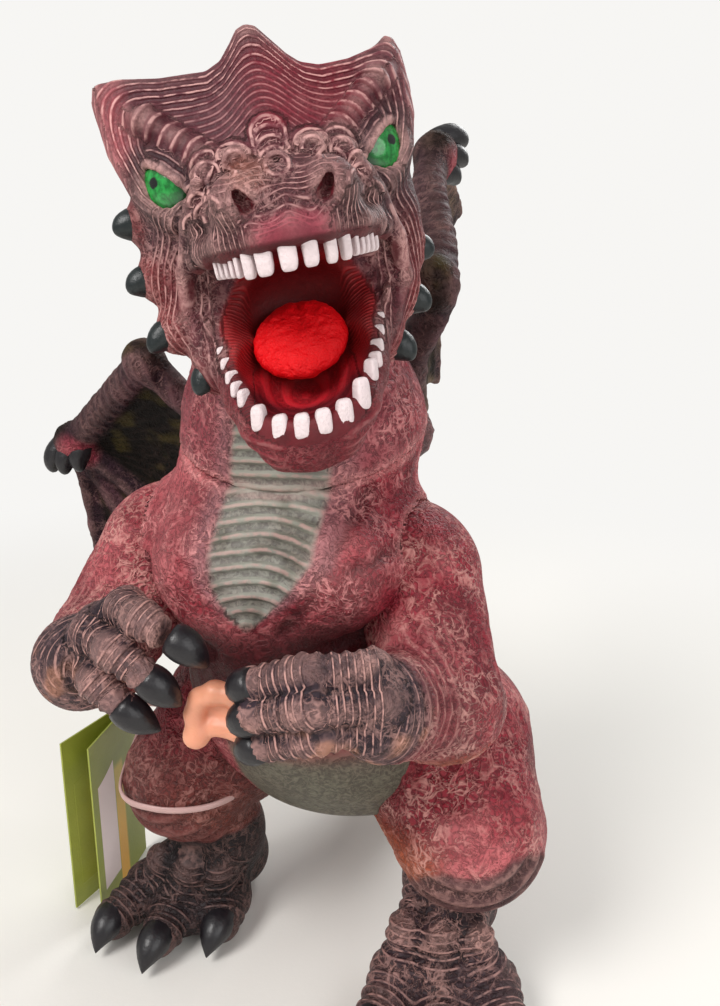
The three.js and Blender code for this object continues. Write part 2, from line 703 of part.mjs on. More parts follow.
function soundCase() {
  const cup = union([caseRod(0, CASE_DEPTH, CASE_RADIUS, 0, 0, 24), ...ears(EAR_FROM, CASE_DEPTH, SCREW.ear, 12)]);
  const space = caseRod(CASE_WALL, CASE_DEPTH + 1, CASE_RADIUS - CASE_WALL, 0, 0, 24);
  const buttonHole = caseRod(-1, CASE_WALL + 1, BUTTON.radius + GAP);
  const screwHoles = ears(coverTo - SCREW.length - GAP, CASE_DEPTH + 1, SCREW.shank + GAP, SMALL_SIDES);
  return cut(cup, [space, buttonHole, ...screwHoles]);
}

function soundCover() {
  const plate = union([
    caseRod(coverFrom, coverTo, CASE_RADIUS, 0, 0, 24),
    ...ears(coverFrom, coverTo, SCREW.ear, 12),
  ]);
  const grille = [-8, 0, 8].map((z) => caseRod(coverFrom - 1, coverTo + 1, 2, 0, z, SMALL_SIDES));
  return cut(plate, [...ears(coverFrom - 1, coverTo + 1, SCREW.shank + GAP, SMALL_SIDES), ...grille]);
}

const pressButton = () =>
  caseRod(-BUTTON.proud, CASE_WALL + GAP + BUTTON.lipThickness, BUTTON.radius).add(
    caseRod(CASE_WALL + GAP, CASE_WALL + GAP + BUTTON.lipThickness, BUTTON.radius + BUTTON.lip),
  );
const circuitBoard = () =>
  caseRod(boardFrom, boardFrom + BOARD_THICKNESS, CASE_RADIUS - CASE_WALL - GAP, 0, 0, 24);
const speaker = () => caseRod(speakerFrom, CASE_DEPTH, SPEAKER_RADIUS);

function cell(index) {
  const angle = Math.PI / 2 + (2 * Math.PI * index) / CELL.count;
  const from = CASE_RADIUS - CASE_WALL - GAP - CELL.radius;
  return caseRod(cellsFrom, cellsFrom + CELL.height, CELL.radius, from * Math.cos(angle), from * Math.sin(angle));
}

const coverScrew = (side) =>
  caseRod(coverTo - SCREW.length, coverTo + GAP + 0.2, SCREW.shank, side * earX, 0, SMALL_SIDES).add(
    caseRod(coverTo + GAP, coverTo + GAP + SCREW.headHeight, SCREW.head, side * earX, 0, 12),
  );

function torsoFilling() {
  const seats = [...shoulders, ...hips, tailSeat];
  const ceiling = halfSpace(along(neckAt, NECK_AXIS, -WALL - GAP - FLANGE - FILL_GAP), NECK_AXIS);
  const pocketEnd = coverTo + GAP + SCREW.headHeight + FILL_GAP;
  const pocket = caseRod(-20, pocketEnd, earX + SCREW.ear + FILL_GAP, 0, 0, 24);
  const pegs = wingFrames.map(({ at, axis }) =>
    rod(at, axis, -1, WING_PEG.length + 4, WING_PEG.radius + GAP + WALL, SMALL_SIDES),
  );
  const walls = seats.map(({ at, outwards, recessWall }) =>
    recessWall.add(rod(at, outwards, -WALL - FILL_GAP, 90, HIP_PLUG)),
  );
  return cut(torsoLoft(WALL + FILL_GAP), [
    ceiling,
    pocket,
    ...pegs,
    ...walls,
    ...seats.map(({ keepOut }) => keepOut),
    ...limbRooms(GAP + WALL + FILL_GAP),
  ]);
}

// Tag: a folded card standing beside the right leg, and the plastic loop that holds it there
const rightAnkle = legStations(RIGHT, hips[1])[2];
const rightKnee = legStations(RIGHT, hips[1])[1];
const loopShare = (LOOP.z - rightAnkle.at.z) / (rightKnee.at.z - rightAnkle.at.z);
const loopLeg = rightAnkle.at.clone().lerp(rightKnee.at, loopShare);
const loopReach = THREE.MathUtils.lerp(rightAnkle.radius, rightKnee.radius, loopShare);
const tagAt = vec(loopLeg.x - loopReach - TAG.out, loopLeg.y + TAG.y, 0);
const tagHole = tagAt.clone().add(vec(0, TAG.width / 2 - TAG.holeIn, TAG.height - TAG.holeIn));
const tagPivot = tagHole.clone().add(vec(0, 0, LOOP.hang));

// Two leaves that meet at a fold along the back edge
function hangTag() {
  const { width, thickness, opening, height } = TAG;
  const outer = opening / 2 + thickness;
  const outline = [
    [thickness, width / 2 + thickness],
    [-thickness, width / 2 + thickness],
    [-outer, -width / 2],
    [-opening / 2, -width / 2],
    [0, width / 2],
    [opening / 2, -width / 2],
    [outer, -width / 2],
  ].map(([x, y]) => new THREE.Vector2(x, y));
  const card = new THREE.ExtrudeGeometry(new THREE.Shape(outline), { depth: height, bevelEnabled: false });
  const hole = rod(tagHole, vec(1, 0, 0), -opening, opening, TAG.hole, SMALL_SIDES);
  return solid(card.translate(tagAt.x, tagAt.y, TAG.lift)).subtract(hole);
}

// Round the leg, out to the tag, through its hole and back round its folded edge
function tagLoop() {
  const reach = loopReach + LOOP.clearance + LOOP.radius;
  const onLeg = (degrees, rise) => {
    const angle = THREE.MathUtils.degToRad(degrees);
    return loopLeg.clone().add(vec(reach * Math.cos(angle), reach * Math.sin(angle), rise));
  };
  const byTag = (x, y) => tagPivot.clone().add(vec(x, y, 0));
  const route = new THREE.CatmullRomCurve3(
    [
      ...[-135, -90, -45, 0, 45, 90].map((degrees) => onLeg(degrees, 0)),
      byTag(14, TAG.holeIn + 10),
      byTag(-4, TAG.holeIn + 8),
      byTag(-9, TAG.holeIn / 2),
      byTag(0, 0),
      byTag(10, -3),
    ],
    true,
  );
  const ring = new THREE.TubeGeometry(route, 48, LOOP.radius, 6, true);
  return solid(ring);
}

// Finishes
const finish = (color, roughness, metalness = 0) =>
  new THREE.MeshStandardMaterial({ color, roughness, metalness });
const VINYL_RED = finish(0xa83a48, 0.55);
const VINYL_HEAD = finish(0x7a3f4a, 0.55);
const VINYL_DARK = finish(0x55404a, 0.55);
const EYE_GREEN = finish(0x14823a, 0.15);
const FIBRE = finish(0xeeeae2, 0.95);
const ABS = finish(0xd8d8d4, 0.5);
const STEEL = finish(0xb8babd, 0.35, 1);
const BOARD = finish(0x2c6b3c, 0.6);
const SPEAKER_BLACK = finish(0x202022, 0.7);
const CARD = finish(0x9aa648, 0.6);
const LOOP_PLASTIC = finish(0xd8b4b0, 0.4);

function piece(name, made, material) {
  const { vertProperties, triVerts } = made.getMesh();
  const shape = new THREE.BufferGeometry();
  shape.setAttribute('position', new THREE.BufferAttribute(vertProperties, 3));
  shape.setIndex(new THREE.BufferAttribute(triVerts, 1));
  shape.computeVertexNormals();
  const mesh = new THREE.Mesh(shape, material);
  mesh.name = name;
  return mesh;
}

const dragon = new THREE.Group();
dragon.add(
  piece('torso_shell', torsoShell(), VINYL_RED),
  piece('head_shell', headShell(), VINYL_HEAD),
  piece('tail', tail(), VINYL_DARK),
  piece('torso_filling', torsoFilling(), FIBRE),
  piece('head_filling', headFilling(), FIBRE),
  piece('tail_filling', tailFilling(), FIBRE),
  piece('sound_case', soundCase(), ABS),
  piece('sound_cover', soundCover(), ABS),
  piece('press_button', pressButton(), ABS),
  piece('circuit_board', circuitBoard(), BOARD),
  piece('speaker', speaker(), SPEAKER_BLACK),
);
sides.forEach((side, index) => {
  const name = sideName(side);
  dragon.add(
    piece(`${name}_eye`, eyeBlob(side), EYE_GREEN),
    piece(`${name}_arm`, arm(side, shoulders[index]), VINYL_RED),
    piece(`${name}_leg`, leg(side, hips[index]), VINYL_RED),
    piece(`${name}_leg_filling`, legFilling(side, hips[index]), FIBRE),
    piece(`${name}_wing`, wing(wingFrames[index]), VINYL_DARK),
    piece(`cover_screw_${index + 1}`, coverScrew(side), STEEL),
  );
});
for (let i = 0; i < CELL.count; i += 1) {
  dragon.add(piece(`cell_${i + 1}`, cell(i), STEEL));
}
dragon.add(piece('hang_tag', hangTag(), CARD), piece('tag_loop', tagLoop(), LOOP_PLASTIC));

// The origin lies on the ground, at the middle of the figure's box.
const box = new THREE.Box3().setFromObject(dragon);
const middle = box.getCenter(vec(0, 0, 0));
dragon.position.set(-middle.x, -middle.y, -box.min.z);

// Where each moving piece turns or slides, in the frame of the whole figure
const inFrame = (point) => point.clone().add(dragon.position);
dragon.userData.joints = {
  neck_swivel: { at: inFrame(neckAt), axis: NECK_AXIS },
  left_shoulder: { at: inFrame(shoulders[0].at), axis: vec(-1, 0, 0) },
  right_shoulder: { at: inFrame(shoulders[1].at), axis: vec(-1, 0, 0) },
  left_wing_swing: { at: inFrame(wingFrames[0].at), axis: wingFrames[0].axis.clone().negate() },
  right_wing_swing: { at: inFrame(wingFrames[1].at), axis: wingFrames[1].axis },
  tail_swivel: { at: inFrame(tailAt), axis: TAIL_AXIS },
  tag_swing: { at: inFrame(tagPivot), axis: vec(0, 1, 0) },
  button_press: { at: inFrame(caseFront), axis: inwards },
};

export default dragon;
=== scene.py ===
"""Looks of the toy dragon figure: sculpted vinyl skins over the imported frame.

Shapes are in millimetres in the figure's own frame (x to its left, y backwards, z up) until they become
meshes. Each skin is grown from rounded solids on a grid, meshed, then painted point by point.
"""

import json
import math
from itertools import product
from types import SimpleNamespace

import bpy
import numpy as np
from mathutils import Matrix, Vector


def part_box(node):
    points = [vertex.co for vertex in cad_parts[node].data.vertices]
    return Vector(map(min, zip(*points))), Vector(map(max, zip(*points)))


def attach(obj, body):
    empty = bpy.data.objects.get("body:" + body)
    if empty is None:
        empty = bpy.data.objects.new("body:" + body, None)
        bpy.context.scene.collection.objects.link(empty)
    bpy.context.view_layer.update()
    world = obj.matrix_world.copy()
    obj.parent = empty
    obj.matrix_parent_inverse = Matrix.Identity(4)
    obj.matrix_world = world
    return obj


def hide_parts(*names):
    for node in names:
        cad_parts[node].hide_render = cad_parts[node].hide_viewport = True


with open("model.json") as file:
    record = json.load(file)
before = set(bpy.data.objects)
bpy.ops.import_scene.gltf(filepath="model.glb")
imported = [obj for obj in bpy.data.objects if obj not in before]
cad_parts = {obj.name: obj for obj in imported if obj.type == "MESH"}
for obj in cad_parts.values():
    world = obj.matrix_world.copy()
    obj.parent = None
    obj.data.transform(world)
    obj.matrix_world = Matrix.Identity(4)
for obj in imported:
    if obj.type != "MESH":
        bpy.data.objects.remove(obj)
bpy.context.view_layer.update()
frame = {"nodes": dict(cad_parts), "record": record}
JOINTS = {joint["name"]: joint for joint in frame["record"]["behaviour"]["joints"]}

MM_PER_M, M_PER_MM = 1000, 0.001
NECK_AT = np.array([-10.0, -13.67, 244.0])
SHIFT = np.array(JOINTS["neck_swivel"]["pos_m"]) * MM_PER_M - NECK_AT
NECK_AXIS = np.array(JOINTS["neck_swivel"]["axis"])
EYES_AT = NECK_AT + [11.0, -50.0, 92.0]
HEAD_YAW, HEAD_ROLL = 24.0, -10.5
LEFT, RIGHT = 1, -1
SIDE_NAMES = {LEFT: "left", RIGHT: "right"}
BOTH_SIDES = (LEFT, RIGHT)


def in_figure(metres):
    """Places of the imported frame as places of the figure."""
    return np.asarray(metres) * MM_PER_M - SHIFT


def in_metres(points):
    """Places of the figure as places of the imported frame."""
    return (np.asarray(points, float) + SHIFT) * M_PER_MM


def unit(vectors):
    """A vector, or each row of an array of them, at length 1."""
    return vectors / np.linalg.norm(vectors, axis=-1, keepdims=True)


def places(points):
    """Points of a table as arrays."""
    return [np.array(point, float) for point in points]


# Colours, written as the eye reads them (0 to 255) and kept as linear values
def paint(red, green, blue):
    share = np.array([red, green, blue]) / 255
    return np.where(share <= 0.04045, share / 12.92, ((share + 0.055) / 1.055) ** 2.4)


CRIMSON = paint(150, 38, 54)
DEEP_CRIMSON = paint(104, 22, 36)
PINK = paint(206, 112, 116)
MAROON = paint(98, 44, 54)
DARK_BROWN = paint(70, 52, 56)
SMOKE = paint(92, 72, 76)
HAND = paint(50, 35, 45)
BELLY = paint(112, 108, 92)
MOUTH_RED = paint(176, 6, 20)
WING_DARK = paint(50, 32, 40)
ORANGE = paint(176, 86, 44)
PEACH = paint(238, 160, 128)
STRIP_EDGE = paint(150, 108, 112)


def smooth(low, high, value):
    share = np.clip((value - low) / (high - low), 0, 1)
    return share * share * (3 - 2 * share)


def mixed(colours, other, weight):
    return colours + (other - colours) * np.asarray(weight)[:, None]


# Rounded solids: each is a distance function and the box that holds it
FAR, TINY = 1e9, 1e-6


def ball(centre, radii):
    c, r = np.asarray(centre, float), np.broadcast_to(np.asarray(radii, float), 3)

    def distance(x, y, z):
        px, py, pz = x - c[0], y - c[1], z - c[2]
        near = np.sqrt((px / r[0]) ** 2 + (py / r[1]) ** 2 + (pz / r[2]) ** 2)
        slope = np.sqrt((px / r[0] ** 2) ** 2 + (py / r[1] ** 2) ** 2 + (pz / r[2] ** 2) ** 2)
        return near * (near - 1) / np.maximum(slope, TINY)

    return distance, c - r, c + r


def rod(start, end, start_radius, end_radius):
    a, b = np.asarray(start, float), np.asarray(end, float)
    step = b - a
    reach = max(start_radius, end_radius)

    def distance(x, y, z):
        px, py, pz = x - a[0], y - a[1], z - a[2]
        share = np.clip((px * step[0] + py * step[1] + pz * step[2]) / (step @ step), 0, 1)
        off = np.sqrt((px - share * step[0]) ** 2 + (py - share * step[1]) ** 2 + (pz - share * step[2]) ** 2)
        return off - (start_radius + (end_radius - start_radius) * share)

    return distance, np.minimum(a, b) - reach, np.maximum(a, b) + reach


def rod_ends(points, radii, wall=0.0):
    """Ends and radii of the rods from each point to the next, drawn in by wall."""
    radii = [radius - wall for radius in radii]
    return list(zip(points, points[1:], radii, radii[1:]))


def run(points, radii):
    return [rod(*ends) for ends in rod_ends(points, radii)]


def on_segment(points, start, end, before=0.0):
    """For each point: its share of the way along a segment, and its distance from the place there.

    The share runs from -before, ahead of the start, to 1 at the end.
    """
    start = np.asarray(start, float)
    step = np.asarray(end, float) - start
    share = np.clip((points - start) @ step / (step @ step), -before, 1)
    return share, np.linalg.norm(points - start - share[:, None] * step, axis=1)


def line_distance(points, lines):
    """Distance of each point from the nearest of some broken lines."""
    best = np.full(len(points), FAR)
    for line in lines:
        for start, end in zip(line, line[1:]):
            best = np.minimum(best, on_segment(points, start, end)[1])
    return best


def line_place(points, lines):
    """For each point: how far along its nearest broken line it lies, and how far off that line."""
    reach, off = np.zeros(len(points)), np.full(len(points), FAR)
    for line in lines:
        along = 0.0
        for start, end in zip(line, line[1:]):
            length = np.linalg.norm(np.subtract(end, start))
            share, gap = on_segment(points, start, end, before=0.3)
            near = gap < off
            reach = np.where(near, along + share * length, reach)
            off = np.where(near, gap, off)
            along += length
    return reach, off


def flat_distance(u, v, lines):
    """Distance from the nearest of some segments in a plane."""
    best = np.full(np.broadcast(u, v).shape, FAR)
    for (u0, v0), (u1, v1) in lines:
        du, dv = u1 - u0, v1 - v0
        share = np.clip(((u - u0) * du + (v - v0) * dv) / (du * du + dv * dv), 0, 1)
        best = np.minimum(best, np.hypot(u - u0 - share * du, v - v0 - share * dv))
    return best


def outline_distance(outline, u, v):
    """Signed distance to a closed outline in a plane, negative inside."""
    edges = list(zip(outline, outline[1:] + outline[:1]))
    inside = np.zeros(np.broadcast(u, v).shape, bool)
    for (u0, v0), (u1, v1) in edges:
        du, dv = u1 - u0, v1 - v0
        inside ^= ((v0 > v) != (v1 > v)) & (u < u0 + (v - v0) / (dv if dv else 1e-9) * du)
    return np.where(inside, -1, 1) * flat_distance(u, v, edges)


def away(x, y, z, at):
    """Distance from a place."""
    return np.sqrt((x - at[0]) ** 2 + (y - at[1]) ** 2 + (z - at[2]) ** 2)


def past_plane(x, y, z, at, axis):
    """Distance beyond the plane through a place, across its axis."""
    return (x - at[0]) * axis[0] + (y - at[1]) * axis[1] + (z - at[2]) * axis[2]


def soft_min(a, b, blend):
    """The smaller of two distances, with a fillet where they are within blend of each other."""
    if blend <= 0:
        return np.minimum(a, b)
    overlap = np.maximum(blend - np.abs(a - b), 0) / blend
    return np.minimum(a, b) - overlap * overlap * blend / 4


def soft_max(a, b, blend):
    return -soft_min(-a, -b, blend)


CORNERS = list(product((0, 1), repeat=3))
FAR_OUTSIDE, JUST_OUTSIDE = 60.0, 0.05  # distances, in an empty grid and at its sides


class Clay:
    """A block of distances on a grid, built up and cut by solids."""

    def __init__(self, low, high, step):
        self.low, self.step = np.asarray(low, float), step
        count = np.ceil((np.asarray(high) - self.low) / step).astype(int) + 1
        self.axes = [self.low[i] + step * np.arange(count[i]) for i in range(3)]
        self.d = np.full(count, FAR_OUTSIDE, np.float32)

    def grid(self):
        return np.ix_(*self.axes)

    def _window(self, solid, margin):
        distance, low, high = solid
        window = []
        for i, axis in enumerate(self.axes):
            window.append(slice(*np.searchsorted(axis, [low[i] - margin, high[i] + margin])))
        parts = [axis[part] for axis, part in zip(self.axes, window)]
        return tuple(window), distance(*np.ix_(*parts))

    def add(self, *solids, blend):
        for solid in solids:
            window, d = self._window(solid, blend + 3 * self.step)
            self.d[window] = soft_min(self.d[window], d, blend)

    def tube(self, points, radii, blend):
        self.add(*run(points, radii), blend=blend)

    def cut(self, *solids, blend):
        for solid in solids:
            window, d = self._window(solid, blend + 3 * self.step)
            self.d[window] = soft_max(self.d[window], -d, blend)

    def keep(self, values, blend):
        self.d = soft_max(self.d, values, blend)

    def mesh(self):
        """Points and quads of the zero surface, one point in each crossed cell."""
        self._close_sides()
        inside = self.d < 0
        shape = tuple(n - 1 for n in self.d.shape)
        filled = np.zeros(shape, np.int8)
        for i, j, k in CORNERS:
            filled += inside[i:i + shape[0], j:j + shape[1], k:k + shape[2]]
        cells = np.argwhere((filled > 0) & (filled < len(CORNERS)))
        number = np.full(shape, -1, np.int64)
        number[tuple(cells.T)] = np.arange(len(cells))
        return self._cell_points(cells), cell_quads(inside, number)

    def _close_sides(self):
        """Keeps the surface from running out of the grid."""
        for axis in range(3):
            edge = [slice(None)] * 3
            for end in (0, -1):
                edge[axis] = end
                self.d[tuple(edge)] = np.maximum(self.d[tuple(edge)], JUST_OUTSIDE)

    def _cell_points(self, cells):
        """The middle of the places where the surface crosses each cell's edges."""
        total, crossings = np.zeros((len(cells), 3)), np.zeros(len(cells))
        for axis, along in enumerate(np.eye(3, dtype=int)):
            for start in np.array([corner for corner in CORNERS if not corner[axis]]):
                a, b = (self.d[tuple((cells + corner).T)] for corner in (start, start + along))
                hit = (a < 0) != (b < 0)
                share = np.where(hit, a / np.where(hit, a - b, 1), 0)
                total += np.where(hit[:, None], start + share[:, None] * along, 0)
                crossings += hit
        return self.low + self.step * (cells + total / crossings[:, None])


def cell_quads(inside, number):
    """A quad of cell numbers round each grid edge that the surface crosses, facing outwards."""
    quads = []
    for axis in range(3):
        one, two = [i for i in range(3) if i != axis]
        low, high = [slice(None)] * 3, [slice(None)] * 3
        low[axis], high[axis] = slice(0, -1), slice(1, None)
        starts = np.argwhere(inside[tuple(low)] != inside[tuple(high)])
        starts = starts[(starts[:, one] > 0) & (starts[:, two] > 0)]
        starts = starts[(starts[:, one] < number.shape[one]) & (starts[:, two] < number.shape[two])]
        ring = []
        for p, q in ((1, 1), (0, 1), (0, 0), (1, 0)):
            cell = starts.copy()
            cell[:, one] -= p
            cell[:, two] -= q
            ring.append(number[tuple(cell.T)])
        ring = np.stack(ring, 1)
        flip = inside[tuple(starts.T)] ^ (axis == 1)
        ring[~flip] = ring[~flip][:, ::-1]
        quads.append(ring)
    return np.concatenate(quads)


def point_normals(points, quads):
    a, b, c, d = (points[quads[:, i]] for i in range(4))
    face = np.cross(c - a, d - b)
    normals = np.zeros_like(points)
    for i in range(4):
        np.add.at(normals, quads[:, i], face)
    return normals / np.maximum(np.linalg.norm(normals, axis=1), 1e-9)[:, None]


def hollows(points, quads, normals, passes=12):
    """How far each point lies below its smoothed surroundings: positive in creases, in mm."""
    edges = np.concatenate([quads[:, [0, 1]], quads[:, [1, 2]], quads[:, [2, 3]], quads[:, [3, 0]]])
    level = points.copy()
    count = np.bincount(edges.ravel(), minlength=len(points))[:, None]
    for _ in range(passes):
        total = np.zeros_like(level)
        for i in range(3):
            total[:, i] += np.bincount(edges[:, 0], level[edges[:, 1], i], len(points))
            total[:, i] += np.bincount(edges[:, 1], level[edges[:, 0], i], len(points))
        level = total / np.maximum(count, 1)
    return np.einsum("ij,ij->i", level - points, normals)


# Soft random values at points, the same on every run
LATTICE_SIZE, LATTICE_SEED = 32, 7
LATTICE = np.random.default_rng(LATTICE_SEED).random((LATTICE_SIZE,) * 3)


def speckle(points, size):
    p = np.asarray(points) / size + 100
    base = np.floor(p).astype(int)
    f = p - base
    f = f * f * (3 - 2 * f)
    value = 0
    for corner in CORNERS:
        weight = np.where(corner, f, 1 - f).prod(1)
        cell = (base + corner) % LATTICE_SIZE
        value = value + weight * LATTICE[cell[:, 0], cell[:, 1], cell[:, 2]]
    return value


def clouds(points, broad, fine):
    """Soft patches of two sizes, from 0 to 1."""
    return speckle(points, broad) * 0.6 + speckle(points, fine) * 0.4


# Meshes in Blender
def turned_out(points, faces):
    """Faces as lists, each turned over if together they face inwards."""
    faces = [list(face) for face in faces]
    volume = 0.0
    for size in {len(face) for face in faces}:
        corners = points[np.array([face for face in faces if len(face) == size])]
        for k in range(1, size - 1):
            volume += np.sum(corners[:, 0] * np.cross(corners[:, k], corners[:, k + 1]))
    return [face[::-1] for face in faces] if volume < 0 else faces


def mesh_object(name, points, faces, body, material):
    mesh = bpy.data.meshes.new(name)
    points = np.asarray(points, float)
    mesh.from_pydata(in_metres(points), [], turned_out(points, faces))
    mesh.polygons.foreach_set("use_smooth", [True] * len(mesh.polygons))
    mesh.materials.append(material)
    mesh.update()
    thing = bpy.data.objects.new(name, mesh)
    bpy.context.scene.collection.objects.link(thing)
    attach(thing, body)
    return thing


def set_values(thing, **values):
    """Keeps a value or a colour for each point of a mesh, for its material to read."""
    for name, value in values.items():
        value = np.asarray(value, np.float32)
        kind, key = "FLOAT", "value"
        if value.ndim == 2:
            kind, key = "FLOAT_COLOR", "color"
            value = np.column_stack([value, np.ones(len(value), np.float32)]).ravel()
        thing.data.attributes.new(name, kind, "POINT").data.foreach_set(key, value)


def refinish(node, material):
    """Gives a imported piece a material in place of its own."""
    frame["nodes"][node].data.materials.clear()
    frame["nodes"][node].data.materials.append(material)


class Skin:
    """A meshed piece of clay with the values its paint needs at each point."""

    def __init__(self, clay, base):
        self.points, self.quads = clay.mesh()
        self.normals = point_normals(self.points, self.quads)
        self.deep = hollows(self.points, self.quads, self.normals)
        count = len(self.points)
        self.tint = np.tile(base, (count, 1))
        self.dry = np.full(count, 0.5)
        self.ridge = np.zeros(count)
        self.ridge_amount = np.zeros(count)
        self.grain = np.full(count, 0.5)

    @property
    def xyz(self):
        return self.points.T

    def colour(self, other, weight):
        self.tint = mixed(self.tint, other, weight)

    def lines(self, phase, weight):
        """Ridges at every whole turn of phase."""
        self.ridge = np.where(weight > self.ridge_amount, phase * 2 * np.pi, self.ridge)
        self.ridge_amount = np.maximum(self.ridge_amount, weight)

    def push(self, amount):
        self.points = self.points + self.normals * np.asarray(amount)[:, None]

    def swell(self, height):
        """Raises the ridges themselves, by height at their crests."""
        wave = np.cos(self.ridge) * self.ridge_amount
        self.push(wave * height)

    def make(self, name, body, nodes, material, place=None):
        points = self.points if place is None else place(self.points)
        thing = mesh_object(name, points, self.quads, body, material)
        set_values(
            thing, tint=np.clip(self.tint, 0, 1), dry=self.dry, ridge=self.ridge,
            ridge_amount=self.ridge_amount, grain=self.grain, deep=np.clip(self.deep, -1.5, 1.5),
        )
        if nodes:
            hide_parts(*nodes)


# Materials
class Nodes:
    """Short calls for building one material's node tree."""

    def __init__(self, name):
        self.material = bpy.data.materials.new(name)
        self.material.use_nodes = True
        self.tree = self.material.node_tree
        self.shader = self.tree.nodes["Principled BSDF"]
        self.where = self.node("ShaderNodeTexCoord").outputs["Object"]

    def node(self, kind, **settings):
        made = self.tree.nodes.new(kind)
        for key, value in settings.items():
            setattr(made, key, value)
        return made

    def put(self, socket, value):
        if isinstance(value, bpy.types.NodeSocket):
            self.tree.links.new(value, socket)
        else:
            socket.default_value = value

    def math(self, operation, a, b=0.0, clamp=False):
        made = self.node("ShaderNodeMath", operation=operation, use_clamp=clamp)
        self.put(made.inputs[0], a)
        self.put(made.inputs[1], b)
        return made.outputs[0]

    def times(self, first, *others):
        """Product of sockets and numbers."""
        return self.math("MULTIPLY", first, self.times(*others)) if others else first

    def mix(self, share, a, b, blend="MIX"):
        made = self.node("ShaderNodeMix", data_type="RGBA", blend_type=blend)
        self.put(made.inputs["Factor"], share)
        for socket, value in ((made.inputs[6], a), (made.inputs[7], b)):
            self.put(socket, (*value, 1) if isinstance(value, (tuple, np.ndarray)) else value)
        return made.outputs[2]

    def between(self, value, low, high):
        made = self.node("ShaderNodeMapRange", interpolation_type="SMOOTHSTEP")
        for key, number in (("Value", value), ("From Min", low), ("From Max", high)):
            self.put(made.inputs[key], number)
        return made.outputs["Result"]

    def noise(self, size, detail=4.0, rough=0.55, distort=0.0):
        made = self.node("ShaderNodeTexNoise")
        self.put(made.inputs["Vector"], self.where)
        settings = {"Scale": MM_PER_M / size, "Detail": detail, "Roughness": rough, "Distortion": distort}
        for key, number in settings.items():
            made.inputs[key].default_value = number
        return made.outputs["Fac"]

    def cells(self, size):
        """Distance from the borders of random cells."""
        made = self.node("ShaderNodeTexVoronoi", feature="DISTANCE_TO_EDGE")
        self.put(made.inputs["Vector"], self.where)
        made.inputs["Scale"].default_value = MM_PER_M / size
        return made.outputs["Distance"]

    def folds(self, size, width):
        """Thin worm-like lines where a noise crosses its middle value."""
        field = self.noise(size, 2, 0.5, distort=0.8)
        off = self.math("ABSOLUTE", self.math("SUBTRACT", field, 0.5))
        return self.between(off, width, 0.0)

    def value(self, name, colour=False):
        made = self.node("ShaderNodeAttribute", attribute_name=name)
        return made.outputs["Color" if colour else "Fac"]

    def bump(self, height, distance):
        made = self.node("ShaderNodeBump")
        made.inputs["Strength"].default_value = 1.0
        made.inputs["Distance"].default_value = distance / MM_PER_M
        self.put(made.inputs["Height"], height)
        self.put(self.shader.inputs["Normal"], made.outputs["Normal"])

    def finish(self, colour, roughness, **sockets):
        self.put(self.shader.inputs["Base Color"], (*colour, 1) if isinstance(colour, np.ndarray) else colour)
        self.put(self.shader.inputs["Roughness"], roughness)
        for key, value in sockets.items():
            self.put(self.shader.inputs[key.replace("_", " ")], value)
        return self.material


def vinyl_material(name, pale, fold_size, fine_size, bump=0.8, shine=0.3):
    """Painted vinyl: dark in its creases and the low places of its relief as painted shade, mottled darker at
    random, dry-brushed paler along its ridges and folds.
    """
    n = Nodes(name)
    times = n.times
    tint, dry, grain, deep = n.value("tint", True), n.value("dry"), n.value("grain"), n.value("deep")
    sway = n.math("MULTIPLY", n.math("SUBTRACT", n.noise(9, 3), 0.5), 2.4)
    wave = n.math("COSINE", n.math("ADD", n.value("ridge"), sway))
    rise = times(n.between(wave, -0.6, 1.0), n.value("ridge_amount"))
    broken = n.between(n.noise(3.4, 3), 0.34, 0.6)
    line = times(n.between(wave, 0.5, 0.98), n.value("ridge_amount"), broken)
    worms = n.math("MAXIMUM", n.folds(fold_size, 0.075), n.folds(fold_size * 0.55, 0.05))
    pebbles = n.between(n.cells(fold_size * 0.5), 0.0, 0.3)
    fine = n.noise(fine_size, 5, 0.65)
    relief = times(n.math("ADD", times(worms, 0.75), times(pebbles, 0.4)), grain)
    height = n.math("ADD", n.math("MAXIMUM", rise, relief), times(fine, 0.3))
    # Painted shade: darker in the creases of the mesh and in the low places of the relief; the cloud adds
    # random darker mottling.
    crease_shade = n.between(deep, 0.05, 0.8)
    crown = n.between(deep, -0.05, -0.9)
    patch = n.between(n.noise(16, 4, 0.6), 0.34, 0.66)
    strokes = n.math("ADD", times(worms, grain, patch, 0.95), times(crown, fine, 0.9))
    brushed = n.math("MULTIPLY", n.math("MAXIMUM", line, strokes), dry, clamp=True)
    # Painted shade in the low places of the relief.
    low = times(n.between(height, 0.45, 0.08), 0.75)
    dark = n.mix(1.0, tint, (0.22, 0.16, 0.2), "MULTIPLY")
    cloud = times(n.between(n.noise(24, 4), 0.38, 0.75), 0.45)
    shade_and_mottle = n.math("MAXIMUM", n.math("MAXIMUM", times(crease_shade, 0.8), low), cloud)
    colour = n.mix(shade_and_mottle, tint, dark)
    colour = n.mix(brushed, colour, n.mix(0.74, tint, tuple(pale)))
    n.bump(height, bump)
    return n.finish(colour, n.math("ADD", 0.42, times(fine, 0.26)), Specular_IOR_Level=shine)


def plain_material(name, colour, roughness, size, variation, bump, **sockets):
    """A moulded or painted surface with a grain of some size and height in mm, mottled by variation."""
    n = Nodes(name)
    cloud = n.noise(size * 4, 4)
    fine = n.noise(size, 4, 0.6)
    tone = n.mix(n.math("MULTIPLY", cloud, variation), colour, colour * 0.45)
    n.bump(fine, bump)
    return n.finish(tone, n.math("ADD", roughness - 0.06, n.math("MULTIPLY", fine, 0.12)), **sockets)


